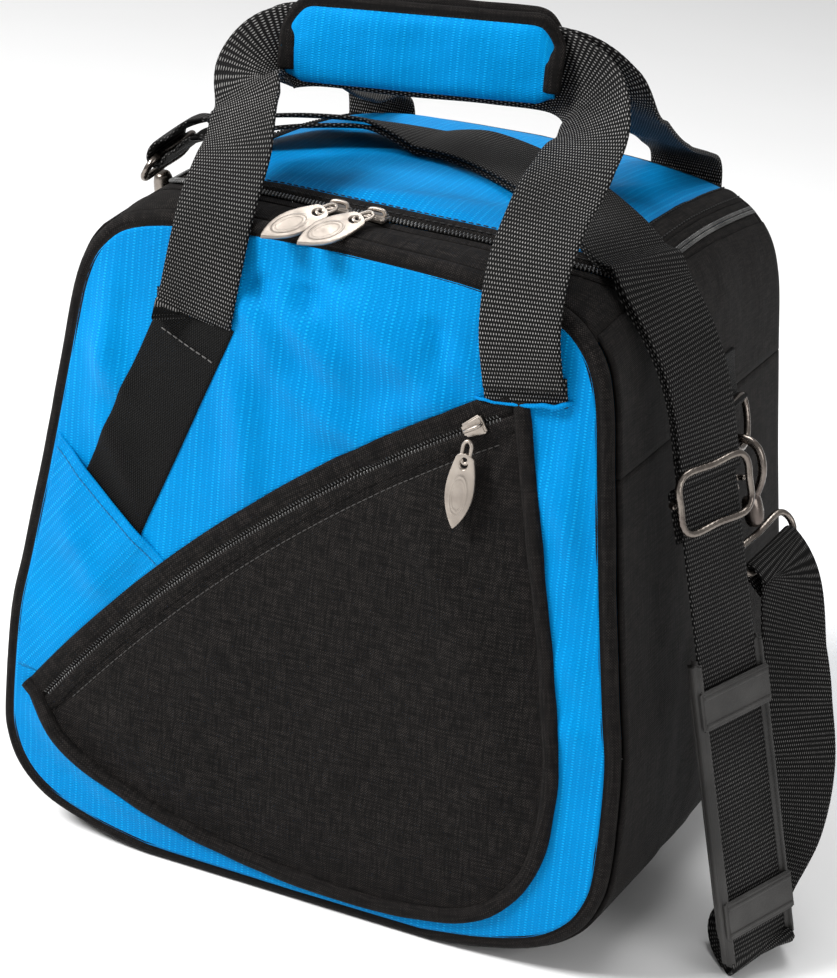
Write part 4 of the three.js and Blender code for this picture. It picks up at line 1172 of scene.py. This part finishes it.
def grip_leaf(name, facing, depth, margin, body, node):
    """One padded leaf of the wrap, and the binding round its ends and its top edge."""
    surface = grip_surface(facing, depth, margin)
    turned = surface if facing < 0 else (lambda u, v: surface(1 - u, v))
    obj = grid(name, 90, 44, turned, BLUE, body, 2.2)
    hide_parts(node)
    rim = [surface(0.006, 0.12 + 0.83 * i / 12) for i in range(13)]
    rim += [surface(0.5 - 0.49 * math.cos(math.pi * i / 60), 0.985) for i in range(1, 60)]
    rim += [surface(0.994, 0.95 - 0.83 * i / 12) for i in range(13)]
    tube(f"{name}_binding", spaced(rim, 160), 4.2, BLACK, body, sides=12, squash=0.42, out=GRIP_OUT * facing,
         wobble=0.1)


grip_leaf("grip_front_cover", -1, 7.5, -1.0, "front_handle", "grip_front_leaf")
grip_leaf("grip_rear_cover", 1, 6.2, 3.0, "rear_handle", "grip_rear_leaf")


# ---- zip sliders and pulls ----
def soften(node_name, material, levels=2, bevel=0.0):
    """Keeps a CAD node's shape and rounds its edges."""
    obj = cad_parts[node_name]
    obj.data.materials.clear()
    obj.data.materials.append(material)
    weld = obj.modifiers.new("join", "WELD")
    weld.merge_threshold = 0.02 * MM
    if bevel:
        edge = obj.modifiers.new("edge", "BEVEL")
        edge.width = bevel * MM
        edge.segments = 3
        edge.limit_method = "ANGLE"
    if levels:
        sub = obj.modifiers.new("round", "SUBSURF")
        sub.levels = levels
        sub.render_levels = levels
    obj.data.shade_smooth()


def slider_casting(name, seat, forward, up, body):
    """A zip slider: a rounded wedge, wide in front, with a wire bridge over it."""
    along = forward.normalized()
    up = square_to(up, along)
    across = along.cross(up)
    to_world = Matrix((along, across, up)).transposed()
    work = bmesh.new()
    bmesh.ops.create_cube(work, size=1.0)
    for v in work.verts:
        width = 9.4 if v.co.x > 0 else 6.0
        v.co = Vector((v.co.x * 11.0, v.co.y * width, v.co.z * 3.2))
    bmesh.ops.bevel(work, geom=list(work.edges), offset=1.0, segments=4, affect="EDGES")
    for v in work.verts:
        v.co = (seat + to_world @ v.co) * MM
    moulded(name, work, NICKEL, body, body)
    bridge = spaced([seat + along * a + up * h for a, h in (
        (4.4, 1.2), (3.8, 3.2), (0, 3.9), (-3.4, 3.2), (-4, 1.2))], 24)
    tube(f"{name}_bridge", bridge, 0.9, NICKEL, body, sides=10)


def leaf_pull(name, pin, along, face_up, body):
    """A cast leaf-shaped pull with a raised oval rim, hung on a wire loop from the slider."""
    down = along.normalized()
    face = square_to(face_up, down)
    right = face.cross(down).normalized()
    length = 35.0
    neck = 4.5

    def half_width(s):
        leaf = 6.8 * max(math.sin(math.pi * (0.17 + 0.83 * s**1.25)), 0.0) ** 0.8
        top_round = math.sqrt(max(1 - (1 - min(s / 0.07, 1.0)) ** 2, 0.0))
        return max(leaf * top_round, 0.05)

    def relief(s, t):
        x = t * half_width(s)
        ring = math.hypot(x / 3.9, (s - 0.56) * length / 9.0)
        lines = 0.22 * hump(ring - 1, 0.08) + 0.14 * hump(ring - 0.8, 0.07)
        slot = math.hypot(x / 2.1, (s - 0.13) * length / 2.9)
        opened = 1 - smoothstep(0.86, 1.02, slot)
        return (0.75 + 0.3 * max(1 - t**6, 0) ** 0.5 + lines) * (1 - opened) + 0.03

    def top(s, t, sign):
        return pin + down * (neck + s * length) + right * (t * half_width(s)) + face * (relief(s, t) * sign)

    def surface(u, v):
        turn = v * 2
        t = 1 - 2 * turn if turn <= 1 else 2 * turn - 3
        if abs(t) > 0.999:
            return pin + down * (neck + u * length) + right * (t * half_width(u))
        return top(u, t, 1.0 if turn <= 1 else -1.0)

    obj = grid(name, 110, 96, surface, NICKEL, body)
    work = bmesh.new()
    work.from_mesh(obj.data)
    bmesh.ops.remove_doubles(work, verts=work.verts, dist=0.03 * MM)
    bmesh.ops.holes_fill(work, edges=work.edges, sides=80)
    middle = pin + down * (neck + 0.13 * length)
    in_slot = []
    for f in work.faces:
        away = f.calc_center_median() / MM - middle
        if math.hypot(away.dot(right) / 1.7, away.dot(down) / 2.5) < 1:
            in_slot.append(f)
    bmesh.ops.delete(work, geom=in_slot, context="FACES")
    bmesh.ops.recalc_face_normals(work, faces=work.faces)
    work.to_mesh(obj.data)
    work.free()
    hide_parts(body)
    loop = spaced([pin + right * a + down * b for a, b in (
        (-1.6, 0.0), (0, -1.2), (1.6, 0.0), (2.0, 4.0), (1.5, 8.2), (0, 9.2), (-1.5, 8.2), (-2.0, 4.0))],
        40, closed=True)
    tube(f"{name}_loop", loop, 0.9, NICKEL, body, closed=True, sides=10)


LEAF_FACE = Vector((0.15, -0.65, 0.75))
for label, x, heading, tip in (
        ("left", -13, -RIGHT, (-36, -142, 323)), ("right", 5, RIGHT, (-20, -145, 323))):
    seat = Vector((x, -95, top_height(x, -95) + 3.4))
    pin = seat + Vector((0, -6.4, 2.8))
    slider_casting(f"{label}_lid_zip_slider", seat, heading, UP, f"{label}_lid_slider")
    leaf_pull(f"{label}_lid_zip_pull", pin, Vector(tip) - pin, LEAF_FACE, f"{label}_lid_pull")
pocket_spot = on_pocket_zip(0.965, 0)
pocket_pin = Vector((pocket_spot.x, FACE - 11.2, pocket_spot.y - 6.4))
pocket_seat = Vector((pocket_spot.x, FACE - 6.4, pocket_spot.y))
slider_casting("pocket_zip_slider", pocket_seat, Vector((0.84, 0, 0.54)), -BACK, "pocket_slider")
leaf_pull("pocket_zip_pull", pocket_pin, Vector((-0.05, -0.06, -1)), -BACK, "pocket_pull")

# ---- rings, hooks and the tri-glide ----
for label in ("right", "left"):
    for wire in ("d_ring", "hook_gate", "hook_eye"):
        soften(f"{label}_{wire}", GUNMETAL)
    soften(f"{label}_hook_body", GUNMETAL, levels=1)
soften("tri_glide_frame", GUNMETAL)
soften("tri_glide_bar", GUNMETAL)


def ring_tab(side, y, node):
    """Webbing folded through a D-ring and sewn into the seam of the side wall."""
    t = at_height(SIDE_SEAM_Z + 6)
    x = on_side(t).x + 2.3
    path = spaced([(side * (x + out), y, z) for out, z in (
        (-0.8, 266), (0.5, 256), (3.4, 246), (6.4, 240.5), (9.0, 245))], 30)
    obj = strip(f"{node}_web", path, lambda *_: BACK, DULL_WEB, "bag", width=25.0, thickness=1.8, bow=0.0)
    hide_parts(node)


ring_tab(1, 25, "right_ring_tab")
ring_tab(-1, 0, "left_ring_tab")

# ---- shoulder strap ----
RUN_TOP = Vector((155, -67, 272))
RUN_FOOT = Vector((218, -59, 12))
RUN_DOWN = (RUN_FOOT - RUN_TOP).normalized()
STRAP_FACING = Vector((0.42, 0.91, 0))
RUN_ACROSS = square_to(STRAP_FACING, RUN_DOWN)
RUN_OUT = RUN_DOWN.cross(RUN_ACROSS).normalized()
LAYER_STEP = 3.2
TRI_GLIDE_DOWN = 42.0


def on_run(down, out=0.0):
    return RUN_TOP + RUN_DOWN * down + RUN_OUT * out


LID_ROUTE = spaced([(x, y, 0) for x, y in (
    (-119, -20), (-100, -15), (-76, -1), (-38, 14), (6, 12), (48, -10), (88, -40), (108, -54), (120, -62),
)], 81)
LAST = len(LID_ROUTE) - 1


def lid_tilt(t):
    """The strap's front edge stands up near its left end, and further right it lies flat."""
    return math.radians(-15 + 23 * smoothstep(0.25, 0.5, t))


def lid_stations():
    """Centre, across and normal of the strap's lower layer over the lid."""
    centres = []
    for i, flat in enumerate(LID_ROUTE):
        lift = 5.6 + WEB_WIDTH / 2 * abs(math.sin(lid_tilt(i / LAST)))
        centres.append(Vector((flat.x, flat.y, top_height(min(abs(flat.x), 112), flat.y) + lift)))
    result = []
    for i, centre in enumerate(centres):
        tangent = (centres[min(i + 1, LAST)] - centres[max(i - 1, 0)]).normalized()
        level = UP.cross(tangent).normalized()
        tilt = lid_tilt(i / LAST)
        across = (level * math.cos(tilt) + tangent.cross(level) * math.sin(tilt)).normalized()
        result.append((centre, across, tangent.cross(across).normalized()))
    return result


STATIONS = lid_stations()


def lid_layer(step):
    """One layer; the two stand apart at the left end and come together over the first third of the lid."""
    layer = []
    for i, (centre, across, normal) in enumerate(STATIONS):
        apart = 1 + 2 * max(1 - i / LAST / 0.3, 0)
        layer.append(centre + normal * (step * apart))
    return layer


def strap(name, path, across_at, body, node):
    """A length of the shoulder strap."""
    obj = strip(name, path, across_at, STRAP, body, thickness=STRAP_THICKNESS, bow=0.3)
    path_length(path) * MM
    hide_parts(node)


strap("strap_over_lid_lower", lid_layer(0), lambda t, i, d: STATIONS[i][1], "lid", "strap_lid_lower")
strap("strap_over_lid_upper", lid_layer(2.7), lambda t, i, d: STATIONS[i][1], "lid", "strap_lid_upper")


def strap_drop(name, step, lowest, node):
    """One layer of the strap from the lid's front right corner down the bag's side."""
    layer = lid_layer(step)
    end = layer[-1]
    heading = (end - layer[-2]).normalized()
    upward = STATIONS[-1][2]
    bend = []
    for i, spot in enumerate(((129, -68, 318), (140, -70, 305), (148.5, -69, 290))):
        bend.append(Vector(spot) + upward.lerp(RUN_OUT, 0.4 + 0.25 * i).normalized() * (step * 1.2))
    start = [end - heading * 0.8, end + heading * 2.5]
    path = spaced(start + bend + [on_run(0, step), on_run(lowest, step)], 70)
    first = STATIONS[-1][1]
    strap(name, path, lambda t, i, d: first.lerp(RUN_ACROSS, min(t * 2, 1)), "bag", node)


strap_drop("strap_side_lower", 0.0, 21.0, "strap_drop_lower")
strap_drop("strap_side_upper", LAYER_STEP, TRI_GLIDE_DOWN - 8.0, "strap_drop_upper")


RING_REACH = 17.1
EYE_REACH = 14.0
RIGHT_HANG = Vector((0.32, 0, -0.95)).normalized()
RIGHT_RING = Vector((on_side(at_height(SIDE_SEAM_Z)).x + 8, 25, 243))
RIGHT_HOOK = RIGHT_RING + RIGHT_HANG * RING_REACH
RIGHT_EYE = RIGHT_HOOK + RIGHT_HANG * 45.4
RIGHT_EYE_HANG = Vector((0.62, 0.1, -0.78)).normalized()
RIGHT_EYE_ACROSS = square_to(STRAP_FACING, RIGHT_EYE_HANG)
LEFT_RING = Vector((-RIGHT_RING.x, 0, 248))
LEFT_RING_HANG = Vector((-0.06, 0, 1)).normalized()
LEFT_HOOK_HANG = Vector((0, -0.3, 0.95)).normalized()
LEFT_HOOK = LEFT_RING + LEFT_RING_HANG * RING_REACH
LEFT_EYE = LEFT_HOOK + LEFT_HOOK_HANG * 46.2
LEFT_EYE_HANG = Vector((0.45, -0.12, 0.88)).normalized()
LEFT_EYE_ACROSS = square_to(Vector((0.08, 0.95, 0.3)), LEFT_EYE_HANG)


def fold_round(eye, hang, across):
    """Places of a strap's fold round a hook's eye, from their distances along it and out of its plane."""
    bar = eye + hang * EYE_REACH
    normal = hang.cross(across).normalized()
    return lambda h, n: bar + hang * h + normal * n


def strap_run():
    """The long stretch: down under the pad, round on the floor, and up to the right hook's eye."""
    fold = fold_round(RIGHT_EYE, RIGHT_EYE_HANG, RIGHT_EYE_ACROSS)
    down = spaced([on_run(21.5), on_run(140), RUN_FOOT], 70)
    loop = spaced([
        (218, -57, 9.5), (214.5, -51.5, 6.6), (208, -42, 5.6), (203, -33, 9), (205, -25, 26), (212, -20, 56),
        (213, -16, 88), (206, -8, 118), (196, 6, 140), fold(12, 3.8), fold(1.5, 4)], 120)
    wrap = spaced([fold(-2.4, 3.2), fold(-4.1, 0), fold(-2.4, -3.2), fold(1.5, -4), fold(16, -2.2)], 24)
    path = down + loop + wrap
    on_floor = Vector((0.8, 0.6, 0))

    def across_at(t, i, direction):
        if i < 70:
            return RUN_ACROSS
        if i < 110:
            return RUN_ACROSS.lerp(on_floor, smoothstep(70, 110, i))
        return RIGHT_EYE_ACROSS.lerp(on_floor, 1 - smoothstep(110, 185, i))

    strap("strap_long_run", path, across_at, "bag", "strap_run")


strap_run()


def strap_left_end():
    """The strap's left end folds round the left hook's eye, just outside the lid."""
    fold = fold_round(LEFT_EYE, LEFT_EYE_HANG, LEFT_EYE_ACROSS)
    heading = (LID_ROUTE[1] - LID_ROUTE[0]).normalized()
    lid_side = STATIONS[0][1]
    meeting = lid_layer(LAYER_STEP / 2)[0] + heading * 1.5
    spread = (meeting - fold(0, 0)).normalized().cross(lid_side).normalized()
    path = spaced([meeting - spread * 4.4, fold(5, -4.2), fold(-2.6, -3.2), fold(-4.3, 0), fold(-2.6, 3.2),
                   fold(5, 4.2), meeting + spread * 4.4], 90)

    def across_at(t, i, direction):
        return lid_side.lerp(LEFT_EYE_ACROSS, smoothstep(0, 0.5, 1 - abs(2 * t - 1)))

    strap("strap_left_loop", path, across_at, "bag", "strap_left_end")


strap_left_end()


def tri_glide_tail():
    """The strap's sewn end: it goes round the tri-glide's bar and is stitched to itself behind."""
    path = spaced([on_run(TRI_GLIDE_DOWN + down, out) for down, out in (
        (20, -5.4), (6, -6.0), (-3, -6.6), (-5.2, -3.4), (-3, -0.6))], 40)
    obj = strip("tri_glide_sewn_end", path, lambda *_: RUN_ACROSS, STRAP, "tri_glide", width=WEB_WIDTH - 2,
                thickness=STRAP_THICKNESS, bow=0.0)
    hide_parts("tri_glide_tail")


tri_glide_tail()


# ---- shoulder pad ----
def shoulder_pad():
    """Moulded pad: two side rails, a ribbed base behind the strap and a bridge over it near each end."""
    work = bmesh.new()
    length = 152.0
    to_world = Matrix((RUN_ACROSS, RUN_OUT, RUN_DOWN)).transposed()
    origin = on_run(192)

    def block(size, centre, edge):
        made = bmesh.ops.create_cube(work, size=1.0)["verts"]
        for v in made:
            v.co = Vector((v.co.x * size[0], v.co.y * size[1], v.co.z * size[2])) + Vector(centre)
        edges = {e for v in made for e in v.link_edges}
        bmesh.ops.bevel(work, geom=list(edges), offset=edge, segments=3, affect="EDGES")

    for side in (-1, 1):
        block((6.0, 8.0, length), (side * 22.8, -0.6, 0), 2.4)
        block((3.4, 3.0, length - 34), (side * 20.6, -3.6, 0), 1.0)
    block((43, 2.2, length - 26), (0, -4.2, 0), 0.7)
    for down in (-length / 2 + 24, length / 2 - 24):
        block((45, 2.6, 19), (0, 3.1, down), 0.9)
        for step in (-6.5, 6.5):
            block((43, 1.2, 1.8), (0, 4.4, down + step), 0.4)
    for v in work.verts:
        taper = 1 - 0.12 * smoothstep(0.82, 1.0, abs(v.co.z) / (length / 2))
        v.co = Vector((v.co.x * taper, v.co.y, v.co.z))
        v.co = (origin + to_world @ v.co) * MM
    moulded("shoulder_pad_moulding", work, PAD, "shoulder_pad", "shoulder_pad")


shoulder_pad()

# ---- inside ----
soften("ball_cup", FOAM, levels=1)
soften("base_board", BOARD, levels=0, bevel=1.2)
